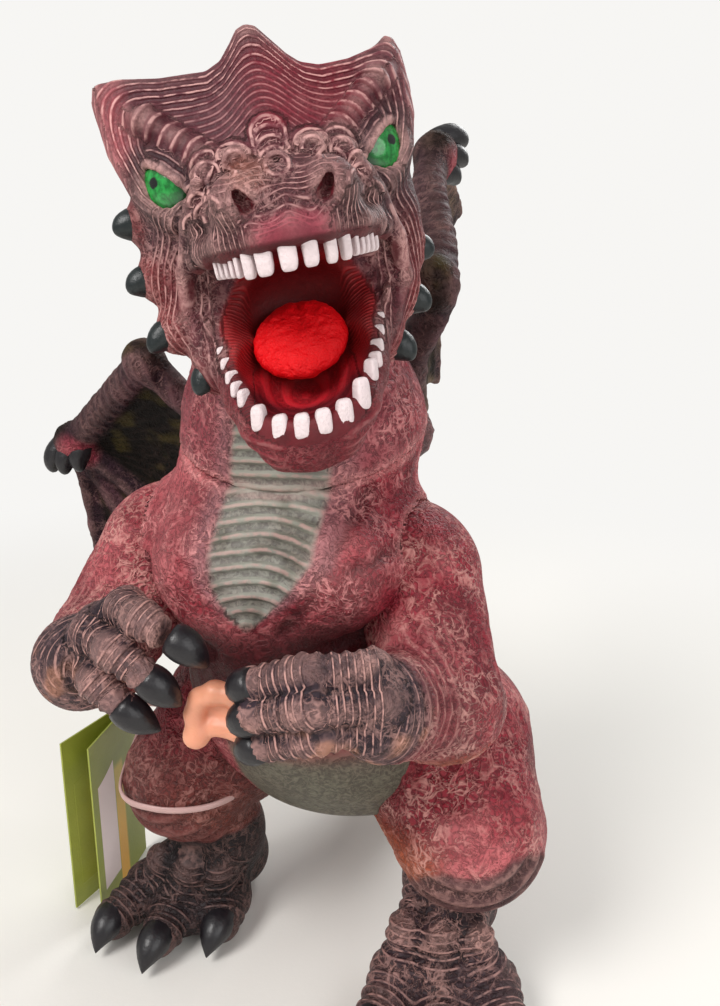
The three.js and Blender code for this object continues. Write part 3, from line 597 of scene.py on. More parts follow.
VINYL = vinyl_material("painted_vinyl", paint(224, 152, 150), fold_size=5.6, fine_size=1.5)
HEAD_VINYL = vinyl_material("painted_vinyl_head", paint(226, 176, 170), fold_size=3.6, fine_size=1.2)
LIMB_VINYL = vinyl_material("painted_vinyl_limbs", paint(218, 166, 156), fold_size=6.0, fine_size=1.4)
WING_VINYL = vinyl_material(
    "painted_vinyl_wings", paint(208, 160, 152), fold_size=6.0, fine_size=1.4, shine=0.08
)
TONGUE_PAINT = plain_material(
    "tongue_paint", paint(240, 6, 18), 0.45, 1.3, 0.25, 1.0, Specular_IOR_Level=0.25
)
TOOTH_PAINT = plain_material("tooth_paint", paint(236, 218, 220), 0.45, 0.9, 0.4, 0.5)
CLAW_PAINT = plain_material("claw_paint", paint(22, 19, 24), 0.4, 2.5, 0.3, 0.3, Coat_Weight=0.08)
SPIKE_PAINT = plain_material("spike_paint", paint(12, 24, 26), 0.4, 2.5, 0.35, 0.4)


# Solid forms made directly: swept horns and rounded blocks
def ring_angles(around):
    return 2 * np.pi * np.arange(around) / around


def ring_faces(rows, around, closed=False):
    """Quads between neighbouring rings of points; closed also joins the last ring to the first."""
    grid = np.arange(rows * around).reshape(rows, around)
    if closed:
        grid = np.vstack([grid, grid[:1]])
    beside = np.roll(grid, -1, 1)
    return np.stack([grid[:-1], beside[:-1], beside[1:], grid[1:]], -1).reshape(-1, 4).tolist()


def swept(points, radii, around=14):
    """A closed tube through points, with a radius at each."""
    points = np.asarray(points, float)
    ways = unit(np.gradient(points, axis=0))
    side = np.cross(ways[0], [0.31, 0.17, 0.94])
    angle = ring_angles(around)
    rings = []
    for point, way, radius in zip(points, ways, radii):
        side = unit(side - way * (side @ way))
        over = np.cross(way, side)
        rings.append(point + radius * (np.cos(angle)[:, None] * side + np.sin(angle)[:, None] * over))
    last = len(points) * around
    faces = ring_faces(len(points), around)
    faces += [list(range(around))[::-1], list(range(last - around, last))]
    return np.concatenate(rings), faces


def bent(start, middle, end, count):
    """Points from start to end on a curve drawn towards middle, closer together near the end."""
    t = 1 - (1 - np.linspace(0, 1, count)[:, None]) ** 1.4
    start, middle, end = places((start, middle, end))
    return (1 - t) ** 2 * start + 2 * t * (1 - t) * middle + t ** 2 * end


def horn(start, middle, end, radius, swell, ease=1.0, count=12):
    """A bent cone, thicker halfway by swell; an ease below 1 makes its end rounder."""
    t = 1 - (1 - np.linspace(0, 1, count)) ** 1.4
    radii = radius * (1 - t ** 2.4) ** ease * (1 + swell * t * (1 - t)) + 0.25
    return swept(bent(start, middle, end, count), radii)


def joined(forms):
    points, faces, start = [], [], 0
    for part, sides in forms:
        points.append(part)
        faces += [[index + start for index in side] for side in sides]
        start += len(part)
    return np.concatenate(points), faces


def bulge(value, power):
    return np.sign(value) * np.abs(value) ** power


def block(centre, half, axes, power, taper=0.0, around=20, rows=12):
    """A rounded block: half sizes along its three axes, narrowing by taper towards the end of the third."""
    u, v = ring_angles(around), np.linspace(-np.pi / 2, np.pi / 2, rows)
    cu, su, cv, sv = (bulge(value, power) for value in (np.cos(u), np.sin(u), np.cos(v), np.sin(v)))
    local = np.stack([cv[:, None] * cu, cv[:, None] * su, np.repeat(sv[:, None], around, 1)], -1)
    local[..., :2] *= (1 - taper * (local[..., 2:] * 0.5 + 0.5))
    points = np.asarray(centre) + (local * half).reshape(-1, 3) @ np.asarray(axes, float)
    return points, ring_faces(rows, around)


def make_claws(limb, forms, body, place=None):
    points, faces = joined(forms)
    points = points if place is None else place(points)
    mesh_object(limb + "_claws", points, faces, body, CLAW_PAINT)


# Head: points from midway between the eyes, x to its left, y backwards, z up
def turn_z(degrees):
    c, s = math.cos(math.radians(degrees)), math.sin(math.radians(degrees))
    return np.array([[c, -s, 0], [s, c, 0], [0, 0, 1]])


def turn_y(degrees):
    c, s = math.cos(math.radians(degrees)), math.sin(math.radians(degrees))
    return np.array([[c, 0, s], [0, 1, 0], [-s, 0, c]])


HEAD_TURN = turn_z(HEAD_YAW) @ turn_y(HEAD_ROLL)
JAW_TOP, JAW_LEAN = -30.0, 0.1  # below this height the face leans to the right


def on_head(points):
    """The face leans to its right below the eyes, and the whole head is turned and tilted."""
    points = np.array(points, float)
    points[:, 0] += JAW_LEAN * np.minimum(points[:, 2] - JAW_TOP, 0)
    return points @ HEAD_TURN.T + EYES_AT


def on_side(place, side):
    """A place given for the left side, on the side asked for."""
    return np.array(place) * [side, 1, 1]


def mirrored(points, side):
    return [(side * x, y, z) for x, y, z in points]


# Edge of the crest: from its peak out to the corner, then down past the eye
CREST_TOP = {
    LEFT: [
        (0, 43), (3, 42), (7, 37), (11, 32), (15, 28.5),
        (20, 27), (30, 27.8), (38, 30), (43.5, 33.5), (46, 33),
    ],
    RIGHT: [(0, 43), (3, 42), (6, 38), (10, 33.3), (15, 31), (30, 32), (45, 35), (51.5, 34.5)],
}
CREST_SIDE = {
    LEFT: [(48, 28), (48.5, 18), (48, 8), (45, -2), (36, -14)],
    RIGHT: [(53, 29), (51, 12), (46, -2), (36, -14)],
}
CREST_LINE = CREST_TOP[LEFT] + CREST_SIDE[LEFT]
CREST_LINE += [(-x, z) for x, z in (CREST_TOP[RIGHT][1:] + CREST_SIDE[RIGHT])[::-1]]
LIP = [(28, -8, -23.5), (25, -20, -23), (19, -34, -22.5), (9, -43, -22), (0, -45, -21.5)]
LIP_RADII = [3.2, 4.0, 4.0, 4.0, 4.0]
JAW = [(26, 1, -46), (24.2, -7, -56), (21.6, -18, -66), (16.6, -28, -74), (8.6, -34.5, -78), (0, -36, -78.5)]
JAW_RADII = [4.2, 3.8, 4.0, 4.6, 5, 5]
CHIN = [(24, -4, -50), (22, -10, -60), (18.5, -18, -70), (14, -25, -77.5), (8, -29.5, -83), (0, -30.5, -84)]
CHIN_RADII = [4.5, 5, 5.2, 6, 7, 7.5]
SKULL_HOLLOW = [((0, 18, -4), 19), ((0, 23, -32), 11), ((0, 24, -45), 9.5), ((0, 20, -62), 9.5)]
MOUTH = [
    ball((0, -24, -42), (26, 34, 16)),
    ball((0, -25, -56), (22, 31, 14)),
    ball((0, -26, -66), (17, 23, 10.5)),
    ball((0, 0, -45), (17, 10, 13)),
]
POCKET_AT, POCKET_SIZE = (31, -15, -36), (5, 10, 8)
NOSTRIL = [(10.9, -46, -13.8), (12.6, -45, -10.6)]
EYE = np.array([29.5, 3.3, -1.6])
EYE_RADIUS = 13.0
LID_REACH = EYE_RADIUS + 0.8
LID = [(8, 7.6), (4, 7.4), (-1, 4.8), (-5.5, 0.6), (-9, -4.4), (-4.5, -7), (1, -8), (5.8, -5.4), (8.2, 1)]
BROW = [(40, 3, 22), (36, -1, 19), (27, -6, 10), (20, -11, 4), (11, -18, 0)]
BROW_RADII = [2.5, 3.2, 3.2, 3, 3]
CHEEK_FOLDS = [
    [(24, -23, -4), (29, -15, -14), (34.5, -5, -28), (36, -1, -41), (31, -3, -53), (26, -8, -62)],
    [(26.5, -20, -14), (29.5, -13, -24), (31, -8, -35), (29, -7, -47)],
]
CHEEK_SPIKES = {
    RIGHT: [((-43, 15, -9), (-54.5, 9, -11)), ((-43, 13, -27), (-54.5, 7, -30)),
            ((-39, 9, -44), (-49.5, 2, -50)), ((-27, 2, -58), (-35, -6, -66))],
    LEFT: [((37, 22, -16), (45, 20, -18)), ((39, 16, -33), (48, 12, -37)),
           ((35, 11, -48), (45, 6, -54)), ((28, 6, -61), (37.5, 0, -69))],
}
# Ridges of the snout: places across and up, and their radius
ARCHES = [(0, 8, 5.2), (0, 5, 5.4), (0, 2, 5.2), (0, -0.8, 4.4)]
BOSS = (0, -3.6, 3.4)
SIDE_ARCHES = [
    (11.5, 2.2, 4.8), (11.5, 0.4, 3.2), (20, 0, 5.4), (20, -1.6, 3.6), (16, -4.6, 4.4),
    (25, -7, 4.4), (24.5, -9, 2.8), (22, -13, 4.2), (27, -15, 3.6),
]
LOBES = [((11.5, -20, 1), (5.5, 5, 4.5)), ((20, -17, -2), (5.5, 5.5, 5.5)), ((24.5, -17, -10), (4.5, 6, 5))]


def crest_face(x, z):
    return -9 + 0.36 * (z - 5) + 0.0036 * x * x


def crest_depth(x, z):
    """How far in from the crest's edge a place lies; the deeper, the less it follows the peaks."""
    across = np.linspace(-60, 60, 241)
    tops = [np.interp(np.abs(across), *np.transpose(CREST_TOP[side])) for side in (RIGHT, LEFT)]
    edge = np.where(across < 0, *tops)
    window = np.hanning(45)
    calm = np.convolve(np.pad(edge, 22, "edge"), window / window.sum(), "valid")
    below = np.interp(x, across, edge) - z
    below += np.interp(x, across, calm - edge) * smooth(2, 14, below)
    sides = [np.array(CREST_SIDE[side][::-1] + CREST_TOP[side][-1:]).T for side in (RIGHT, LEFT)]
    reach = np.where(x < 0, *(np.interp(z, heights, widths) for widths, heights in sides))
    return soft_min(below, reach - np.abs(x), 14)


def snout_ridges(x, y, z):
    """Place across the nearest thin ridge over the nose, seen from in front, and how much of it shows."""
    rings = [(*values, True) for values in ARCHES] + [(*BOSS, False)]
    rings += [(side * u, v, radius, True) for u, v, radius in SIDE_ARCHES for side in BOTH_SIDES]
    turn, weight = np.zeros(len(x)), np.zeros(len(x))
    for u, v, radius, open_below in rings:
        off = np.hypot(x - u, z - v) - radius
        share = smooth(1.9, 1.3, np.abs(off))
        if open_below:
            share = share * smooth(-0.35, -0.05, (z - v) / radius)
        turn = np.where(share > weight, off / 4.0, turn)
        weight = np.maximum(weight, share)
    return turn, weight * smooth(-6, -12, y)


def crest_solid():
    def distance(x, y, z):
        side = outline_distance(CREST_LINE, x[:, 0, :], z[0, 0, :][None, :])[:, None, :]
        face = crest_face(x, z)
        return soft_max(side, np.abs(y - face - 8) - 8, 6.0)

    return distance, np.array([-53, -22, -16.0]), np.array([53, 32, 45.0])


def eye_frame(side):
    """Ways outwards, up and forwards of an eye that looks ahead and a little aside."""
    forward = unit(np.array([side * 0.42, -0.9, 0.05]))
    outwards = unit(np.cross([0, 0, 1.0], forward) * side)
    return np.stack([outwards, np.cross(outwards, forward) * -side, forward])


def lid_points(side, radius):
    """The eye's outline, on a ball round the eye."""
    axes, centre = eye_frame(side), on_side(EYE, side)
    ring = []
    for u, v in LID + LID[:1]:
        ring.append(centre + np.array([u, v, math.sqrt(radius ** 2 - u * u - v * v)]) @ axes)
    return ring


def eye_window(side):
    """A prism along the eye's gaze with the outline of its lids."""
    axes, centre = eye_frame(side), on_side(EYE, side)

    def distance(x, y, z):
        px, py, pz = x - centre[0], y - centre[1], z - centre[2]
        u, v, w = (px * a[0] + py * a[1] + pz * a[2] for a in axes)
        return np.maximum(outline_distance(LID, u, v), 3 - w)

    return distance, centre - 14, centre + 14


def add_skull(clay):
    clay.add(ball((0, 16, -8), (42, 30, 34)), blend=0)
    clay.add(crest_solid(), blend=9)
    for side in BOTH_SIDES:
        clay.add(ball((side * 30, 14, -24), (15, 16, 24)), blend=8)
        clay.tube(mirrored([(33, 13, -20), (31, 8, -42), (26.5, 0, -58)], side), [12, 9.5, 7], blend=6)
    clay.add(ball((0, 16, -52), (32, 22, 30)), blend=8)
    clay.add(ball((0, -15, -12.5), (26, 26, 13)), ball((0, -31, -15), (20.5, 14, 10)), blend=7)
    clay.add(ball((0, -8, -66), (24.5, 27, 18)), ball((0, -24, -84.5), (12, 11, 7)), blend=5)


def add_rims(clay, side):
    """One side's brow, lips, jaw, chin and the swelling round its nostril."""
    rims = ((BROW, BROW_RADII, 5), (LIP, LIP_RADII, 4), (JAW, JAW_RADII, 5), (CHIN, CHIN_RADII, 5))
    for line, radii, blend in rims:
        clay.tube(mirrored(line, side), radii, blend=blend)
    clay.add(ball((side * 12, -39, -12), (9.2, 9, 8.4)), blend=3)


def add_features(clay, side):
    """One side's cheek folds, mouth pocket, eye socket and lids, nose lobes, nostril and spike roots."""
    for fold, size in zip(CHEEK_FOLDS, (2.6, 2.0)):
        radii = [size * 0.7] + [size] * (len(fold) - 2) + [size * 0.6]
        clay.tube(mirrored(fold, side), radii, blend=3)
    clay.cut(ball(on_side(POCKET_AT, side), POCKET_SIZE), blend=3)
    clay.add(ball(on_side(EYE, side), EYE_RADIUS + 1.2), blend=4)
    clay.cut(eye_window(side), blend=0.6)
    ring = lid_points(side, LID_REACH)
    clay.tube(ring, [1.3] * len(ring), blend=1.2)
    for centre, radii in LOBES:
        clay.add(ball(on_side(centre, side), radii), blend=2.5)
    clay.cut(*run(mirrored(NOSTRIL, side), [2.0, 1.7]), blend=2.5)
    for base, tip in CHEEK_SPIKES[side]:
        base, tip = np.array(base), np.array(tip)
        clay.add(ball(base + (tip - base) * 0.2, 7 if side == RIGHT else 5.5), blend=7)


def head_clay():
    clay = Clay((-60, -56, -100), (58, 48, 48), step=0.95)
    add_skull(clay)
    for side in BOTH_SIDES:
        add_rims(clay, side)
    clay.cut(*MOUTH, blend=2.5)
    for side in BOTH_SIDES:
        add_features(clay, side)
    clay.add(ball((0, -30, -3.5), 4.3), blend=2)
    clay.cut(ball((0, -33.8, -2.6), 1.3), blend=1)
    clay.cut(*run(*zip(*SKULL_HOLLOW)), blend=2)
    return clay


def paint_crest(skin):
    """Fine ridges follow the crest's edge, over its front and down past the eyes."""
    x, y, z = skin.xyz
    wide = np.abs(x)
    front = smooth(9, 1, y - crest_face(x, z))
    shield = smooth(2, 8, z - 0.25 * np.maximum(20 - wide, 0)) * front
    temple = smooth(34, 41, wide) * smooth(-14, -4, z) * front
    zone = np.maximum(shield, temple)
    red = shield * smooth(25, 8, np.abs(x - 14)) * smooth(2, 12, z) * smooth(40, 30, z)
    skin.colour(paint(124, 30, 46), red * 0.85)
    corner = smooth(38, 46, -x) * smooth(-2, 10, z) * smooth(20, 4, y)
    skin.colour(paint(178, 92, 98), corner * 0.75)
    outer = smooth(0.5, 0.85, np.abs(skin.normals[:, 0])) * smooth(36, 44, wide) * smooth(-6, 4, z)
    skin.colour(paint(150, 92, 96), outer * 0.7)
    back = smooth(8, 22, y)
    skin.colour(DARK_BROWN, back * 0.75)
    depth = crest_depth(x, z)
    skin.lines(depth / 2.2, (0.35 + 0.5 * smooth(16, 5, depth)) * zone * (1 - outer))
    skin.lines(y / 2.6, 0.7 * outer)
    skin.lines(np.hypot(x * 0.8, z + 20) / 4.0, 0.45 * back * smooth(-30, -10, z))
    return zone


def nearest(points, lines):
    """Distance of each point from the nearest of lines given for the left side, on both sides."""
    return line_distance(points, [mirrored(line, side) for line in lines for side in BOTH_SIDES])


def mouth_share(points):
    """How far each point belongs to the inside of the mouth, and to the gums and the pockets beside it."""
    x, y, z = points.T
    wide = np.abs(x)
    cavity = np.min([solid[0](x, y, z) for solid in MOUTH], axis=0)
    inside = smooth(4.2, 2.2, cavity) * smooth(-47, -40, y) * smooth(30, 27.5, wide)
    gum = smooth(-23.5, -25, z) * smooth(-34, -32, z) * smooth(28, 26, wide) * smooth(-4, -10, y)
    rim = np.interp(wide, *np.array(JAW[::-1]).T[[0, 2]])
    low_gum = smooth(-4.6, -3.2, z - rim) * smooth(9, 6, z - rim) * smooth(-12, -18, y) * smooth(27, 23, wide)
    pocket = ball(POCKET_AT, POCKET_SIZE)[0](wide, y, z)
    return inside, np.max([smooth(2.2, 0.4, pocket), gum, low_gum], axis=0)


def paint_face(skin):
    """Colours of the snout, the cheeks, the jaw and the spikes' roots; returns the zones of the face."""
    points = skin.points
    x, y, z = points.T
    wide = np.abs(x)
    cheek = smooth(2, -8, z) * smooth(23, 29, wide)
    skin.colour(paint(78, 46, 52), cheek * smooth(-36, -24, z) * 0.9)
    skin.colour(paint(112, 36, 42), smooth(-14, -28, z) * smooth(32, 40, wide) * 0.8)
    snout = smooth(-10, -18, y) * smooth(31, 27, wide) * smooth(-30, -26, z) * smooth(12, 2, z)
    skin.colour(paint(86, 42, 48), snout * 0.9)
    # A pale warm spot high on the snout's right side: painted highlight.
    skin.colour(paint(176, 108, 84), snout * smooth(9, 2, np.hypot(x + 9, z + 4)) * 0.45)
    lip = smooth(-32, -40, y) * smooth(1.25, 0.3, np.hypot(x / 16, (z + 25) / 8.5)) * smooth(-30, -26, z)
    skin.colour(paint(172, 66, 84), lip)
    jaw = np.maximum(smooth(-78, -84, z), smooth(-52, -62, z) * smooth(2, -6, y))
    skin.colour(paint(122, 28, 40), jaw * 0.9)
    corner = smooth(22, 25, wide) * smooth(35, 31, wide) * smooth(-27, -32, z) * smooth(-66, -58, z)
    corner = corner * smooth(10, 2, y)
    skin.colour(paint(92, 40, 46), corner * 0.8)
    for side in BOTH_SIDES:
        for root, _ in CHEEK_SPIKES[side]:
            skin.colour(paint(138, 50, 50), smooth(13, 8, np.linalg.norm(points - root, axis=1)) * 0.6)
    return SimpleNamespace(
        points=points, wide=wide, cheek=cheek, snout=snout, lip=lip, jaw=jaw, corner=corner
    )


def paint_mouth(skin):
    """Colours of the mouth; returns how far each point belongs to it."""
    _, y, z = skin.xyz
    inside, gums = mouth_share(skin.points)
    skin.colour(MOUTH_RED, inside)
    # Darker towards the back of the mouth: painted shade.
    skin.colour(paint(116, 3, 10), smooth(-14, 2, y) * inside * 0.8)
    # Brighter red on the front of the mouth's floor: painted light.
    skin.colour(paint(196, 30, 44), inside * smooth(-60, -68, z) * smooth(-2, -16, y) * 0.8)
    skin.colour(paint(96, 14, 26), gums * 0.95)
    return np.maximum(inside, gums)


def raise_ridges(skin, face):
    """Ridges that stand proud of the nose, the brows, the lids, the cheeks and the jaw."""
    x, y, z = face.points.T
    outer = 1 - face.inside
    turn, ridges = snout_ridges(x, y, z)
    skin.lines(turn, 0.99 * ridges * outer)
    along, off = line_place(face.points, [mirrored(BROW, side) for side in BOTH_SIDES])
    brow = smooth(6.5, 4.5, off)
    skin.lines(along / 5.2, 0.75 * brow * smooth(-2, 4, z))
    folds = nearest(face.points, CHEEK_FOLDS[:1])
    skin.lines(folds / 2.4, 0.75 * smooth(20, 12, folds) * face.cheek * outer * (1 - face.snout))
    skin.lines(face.lids / 2.1, 0.5 * smooth(9, 6, face.lids) * smooth(1.2, 2.0, face.lids))
    skin.lines(nearest(face.points, [JAW]) / 2.2, 0.6 * face.jaw * outer * smooth(6, 12, face.wide))
    skin.lines(np.hypot(x, y + 8) / 6.5, 0.3 * face.inside * smooth(-58, -63, z))
    skin.swell(0.3 + 0.35 * brow)


def draw_wrinkles(skin, face):
    """Thin lines on the snout's sides, round the nostrils and at the corners of the mouth."""
    x, y, z = face.points.T
    wide, hole, outer = face.wide, face.hole, 1 - face.inside
    whisker = smooth(-8, -15, z) * smooth(9, 14, wide) * smooth(2, -8, y) * smooth(33, 29, wide)
    whisker = whisker * smooth(-28.5, -26, z)
    skin.colour(paint(62, 32, 36), whisker * outer * smooth(4, 6, hole) * 0.6)
    around = np.arctan2(x, -(y + 6)) * 30
    skin.lines(around / 1.4, 0.99 * whisker * outer * smooth(4, 6, hole))
    skin.lines(hole / 1.7, 0.3 * smooth(6.5, 5, hole) * smooth(2.4, 3.2, hole) * outer)
    skin.lines(z / 1.8, 0.5 * face.snout * smooth(9, 5, wide) * smooth(-17, -14, z))
    sway = 5 * speckle(face.points, 6)
    nose = 0.62 * face.snout * (1 - face.lip) * outer * smooth(2.6, 4, hole)
    skin.lines((z + 0.2 * wide + sway) / 2.0, nose)
    skin.lines((y + sway) / 2.2, 0.6 * face.corner * outer)
    walls = smooth(-28, -34, z) * face.inside * smooth(14, 18, wide)
    skin.lines((z + y) / 1.8, 0.4 * walls)


def paint_head(skin):
    crest = paint_crest(skin)
    face = paint_face(skin)
    face.hole = nearest(face.points, [NOSTRIL])
    face.lids = line_distance(face.points, [lid_points(side, LID_REACH) for side in BOTH_SIDES])
    skin.colour(paint(112, 22, 34), smooth(2.5, 1.7, face.hole))
    skin.colour(paint(52, 32, 38), smooth(8, 3, face.lids) * 0.75)
    skin.colour(paint(190, 146, 142), smooth(2.0, 1.0, face.lids) * 0.75)
    face.inside = paint_mouth(skin)
    skin.dry = np.where(face.inside > 0.35, 0.25, 0.95) * (1 - 0.8 * face.lip) * (1 - 0.65 * face.jaw)
    rough = np.maximum(face.snout, np.maximum(face.jaw, face.cheek))
    skin.grain = (0.25 + 0.3 * rough) * (1 - 0.8 * face.inside) * (1 - face.lip)
    skin.grain *= 1 - 0.6 * crest
    raise_ridges(skin, face)
    draw_wrinkles(skin, face)


def teeth(rows, half_depth, drop):
    forms = []
    for x, y, z, half, tall in rows:
        outwards = unit(np.array([x * 0.9, y + 6.0, 0.0]))
        across = np.array([-outwards[1], outwards[0], 0.0])
        axes = [across, outwards, [0, 0, float(drop)]]
        forms.append(block((x, y, z + drop * tall), (half, half_depth, tall), axes, 0.5, 0.12))
    return joined(forms)


# Teeth: place across the jaw, half width, half height
UPPER_TEETH = [
    (-22.4, 0.75, 3.3), (-21, 0.75, 3.4), (-19.5, 0.75, 3.5), (-18, 0.75, 3.6), (-16.4, 0.8, 3.8),
    (-13.4, 1.9, 4.3), (-9, 2.6, 4.4), (-2.3, 2.8, 4.5), (4, 2.4, 4.4), (9.9, 1.8, 4.3), (14.4, 1.6, 4.1),
    (17.4, 0.8, 3.7), (19.2, 0.75, 3.6), (21, 0.75, 3.5), (22.8, 0.75, 3.4), (24.4, 0.75, 3.3),
]
LOWER_TEETH = [
    (-24.3, 0.9, 1.8), (-23.4, 0.95, 1.9), (-22.3, 1.0, 2.1), (-21, 1.1, 2.4), (-19.2, 1.3, 2.8),
    (-15.2, 2.2, 4.0), (-9.3, 2.4, 3.8), (-3.1, 2.5, 3.8), (3.1, 2.5, 3.9), (9.4, 2.5, 4.2), (15.2, 2.4, 5.0),
    (19.2, 1.5, 3.6), (21.2, 1.2, 2.6), (22.5, 1.0, 2.2), (23.6, 0.95, 2.0), (24.5, 0.9, 1.8),
]


def on_run(points, across):
    """The place on a run that lies so far across."""
    line = np.array(points, float)[::-1]
    return [across] + [np.interp(abs(across), line[:, 0], line[:, i]) for i in (1, 2)]


def make_teeth():
    upper, lower = [], []
    for across, half, tall in UPPER_TEETH:
        x, y, z = on_run(LIP, across)
        upper.append((x, y - 0.4, z - 2.0, half, tall))
    for across, half, tall in LOWER_TEETH:
        x, y, z = on_run(JAW, across)
        rise = 2.4 * smooth(15, 20, abs(x))
        lower.append((x * 1.04, y - 4.4, z - 2.0 + rise, half * 1.08, tall))
    for name, rows, depth, drop in (("upper_teeth", upper, 2.0, -1), ("lower_teeth", lower, 2.4, 1)):
        points, faces = teeth(rows, depth, drop)
        mesh_object(name, on_head(points), faces, "head", TOOTH_PAINT)


TONGUE_TILT = math.radians(45)


def make_tongue():
    clay = Clay((-20, -27, -76), (20, 18, -32), step=0.9)
    c, s = math.cos(TONGUE_TILT), math.sin(TONGUE_TILT)

    def distance(x, y, z):
        py, pz = y + 5, z + 54.6
        return ball((0, 0, 0), (15, 14.6, 5.4))[0](x, c * py + s * pz, -s * py + c * pz)

    clay.add((distance, np.array([-17, -24, -72.0]), np.array([17, 14, -35.0])), blend=0)
    points, quads = clay.mesh()
    normals = point_normals(points, quads)
    x, y = points.T[:2]
    groove = 0.7 * np.exp(-((x / 1.4) ** 2)) * smooth(-14, 2, y)
    rough = speckle(points, 2.6) * 0.8 + speckle(points, 1.5) * 0.7 - groove
    points = points + normals * rough[:, None]
    mesh_object("tongue", on_head(points), quads, "head", TONGUE_PAINT)


def eye_material():
    """Glossy green, darker towards the lids, with a black pupil."""
    n = Nodes("eye_paint")
    reach = n.value("pupil")
    green = n.mix(n.between(n.noise(1.8, 4), 0.3, 0.7), paint(10, 96, 36), paint(36, 150, 66))
    green = n.mix(n.between(reach, 6.5, 10.5), green, paint(6, 64, 28))
    colour = n.mix(n.between(reach, 2.0, 1.5), green, paint(6, 8, 8))
    n.bump(n.noise(2.2, 3), 0.1)
    return n.finish(colour, 0.16, Coat_Weight=0.35, Coat_Roughness=0.05)


def make_eyes():
    material = eye_material()
    for side in BOTH_SIDES:
        axes, centre = eye_frame(side), on_side(EYE, side)
        points, faces = block(centre, [EYE_RADIUS] * 3, axes, 1.0, around=40, rows=24)
        local = (points - centre) @ axes.T
        pupil = np.hypot(local[:, 0] - 3.0, local[:, 1] - 1.4) + np.where(local[:, 2] < 0, 20, 0)
        name = SIDE_NAMES[side] + "_eye"
        thing = mesh_object(name + "_ball", on_head(points), faces, "head", material)
        set_values(thing, pupil=pupil)
        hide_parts(name)


def make_cheek_spikes():
    forms = []
    for side in BOTH_SIDES:
        for base, tip in CHEEK_SPIKES[side]:
            base, tip = places((base, tip))
            middle = (base + tip) / 2 + [side * 3.0, 0, 2.0]
            forms.append(horn(base, middle, tip, radius=4.9, swell=0.6, ease=0.6))
    points, faces = joined(forms)
    mesh_object("cheek_spikes", on_head(points), faces, "head", SPIKE_PAINT)


def make_head():
    skin = Skin(head_clay(), MAROON)
    paint_head(skin)
    skin.make("head_skin", "head", ["head_shell"], HEAD_VINYL, on_head)
    make_teeth()
    make_tongue()
    make_eyes()
    make_cheek_spikes()


# Torso: sections from the crotch to the neck, each as its height, its centre in x and y,
# its half width, and its depth in front and behind
TORSO = np.array([
    (72.9, 2, 10, 22, 21, 22), (80, 2, 8, 41, 38, 36), (95, 1, 5, 54, 52, 48),
    (116, -3, 0, 57, 60, 54), (140, -13, -5, 47, 62, 54), (166, -17, -10, 41, 62, 52),
    (190, -18, -14, 47, 58, 50), (216, -16, -13, 48, 50, 48), (237, -11, -13, 48, 47, 46),
    (281, -5, -17, 46, 43, 42),
])
SHOULDERS = {LEFT: np.array([34.0, -16, 190]), RIGHT: np.array([-70.0, -16, 190])}
SHOULDER_SIZE = 27.0
SOCKET_GAP = 0.5
WING_SEATS = {LEFT: np.array([12.4, 42.4, 226]), RIGHT: np.array([-39.6, 42.4, 226])}
WING_ROOTS = {LEFT: np.array([1.7, 2.8, 222]), RIGHT: np.array([-29.5, 2.8, 222])}
WING_AXES = {side: unit(np.array([side * 0.487, -0.633, 0.6])) for side in BOTH_SIDES}
TAIL_AT = np.array([0.65, 40.1, 97])
TAIL_AXIS = unit(np.array([0, 0.75, -0.66]))
WALL, NECK_WALL, TAIL_WALL, SEAM_WALL = 3.0, 4, 4, 3.4
SHOULDER_ROOM, TAIL_ROOM = SHOULDER_SIZE + WALL + 1, 36.0  # round the sockets, kept out of the hollow
# The plated strip of throat and chest: height, centre, half width
STRIP = np.array([
    (178, -10, 0), (184, -10, 6), (195, -8, 14), (206, -5, 19), (222, -4, 18), (246, -1, 17), (300, 8, 17),
])
PLATE_PITCH = 5.2


def spline(nodes, values, at):
    """A smooth curve through values at nodes."""
    slopes = np.gradient(values, nodes)
    i = np.clip(np.searchsorted(nodes, at) - 1, 0, len(nodes) - 2)
    h = nodes[i + 1] - nodes[i]
    t = np.clip((at - nodes[i]) / h, 0, 1)
    start = values[i] * (1 + 2 * t) * (1 - t) ** 2 + slopes[i] * h * t * (1 - t) ** 2
    return start + values[i + 1] * t * t * (3 - 2 * t) + slopes[i + 1] * h * t * t * (t - 1)


def torso_solid(inset=0.0):
    def distance(x, y, z):
        cx, cy, wide, front, back = (spline(TORSO[:, 0], TORSO[:, i], z) for i in range(1, 6))
        px, py = x - cx, y - cy
        wide = np.maximum(wide - inset, 1)
        deep = np.maximum(np.where(py < 0, front, back) - inset, 1)
        near = np.sqrt((px / wide) ** 2 + (py / deep) ** 2)
        slope = np.sqrt((px / wide ** 2) ** 2 + (py / deep ** 2) ** 2)
        return soft_max(near * (near - 1) / np.maximum(slope, TINY), TORSO[0, 0] + inset - z, 8)

    return distance, np.array([-75, -90, 70.0]), np.array([70, 65, 285.0])


def above_seam(x, y, z):
    """Distance above the plane where the neck turns on the torso."""
    return past_plane(x, y, z, NECK_AT, NECK_AXIS)


def strip_place(x, z):
    """0 on the middle line of the plated strip, 1 at its edge."""
    centre = np.interp(z, STRIP[:, 0], STRIP[:, 1])
    half = np.interp(z, STRIP[:, 0], STRIP[:, 2])
    return np.abs(x - centre) / np.maximum(half, 0.5)


def skin_wrinkles(points, size, height):
    """Worm-like folds: lines where a soft random field crosses its middle."""
    field = speckle(points + 3 * speckle(points, size * 2.2)[:, None], size)
    return height * (1 - np.minimum(np.abs(field - 0.5) * 5, 1))


# Creases across the chest, as places across and up, with how deep they are
CHEST_CREASES = [
    ([(26, 226), (20, 205), (13, 190), (2, 178)], 1.6),
    ([(-66, 192), (-54, 180), (-40, 172), (-26, 168)], 2.4),
    ([(-64, 184), (-50, 173), (-36, 166)], 1.8),
    ([(38, 182), (26, 172), (12, 166), (-2, 164)], 2.0),
    ([(46, 214), (38, 206), (28, 204)], 1.2),
]


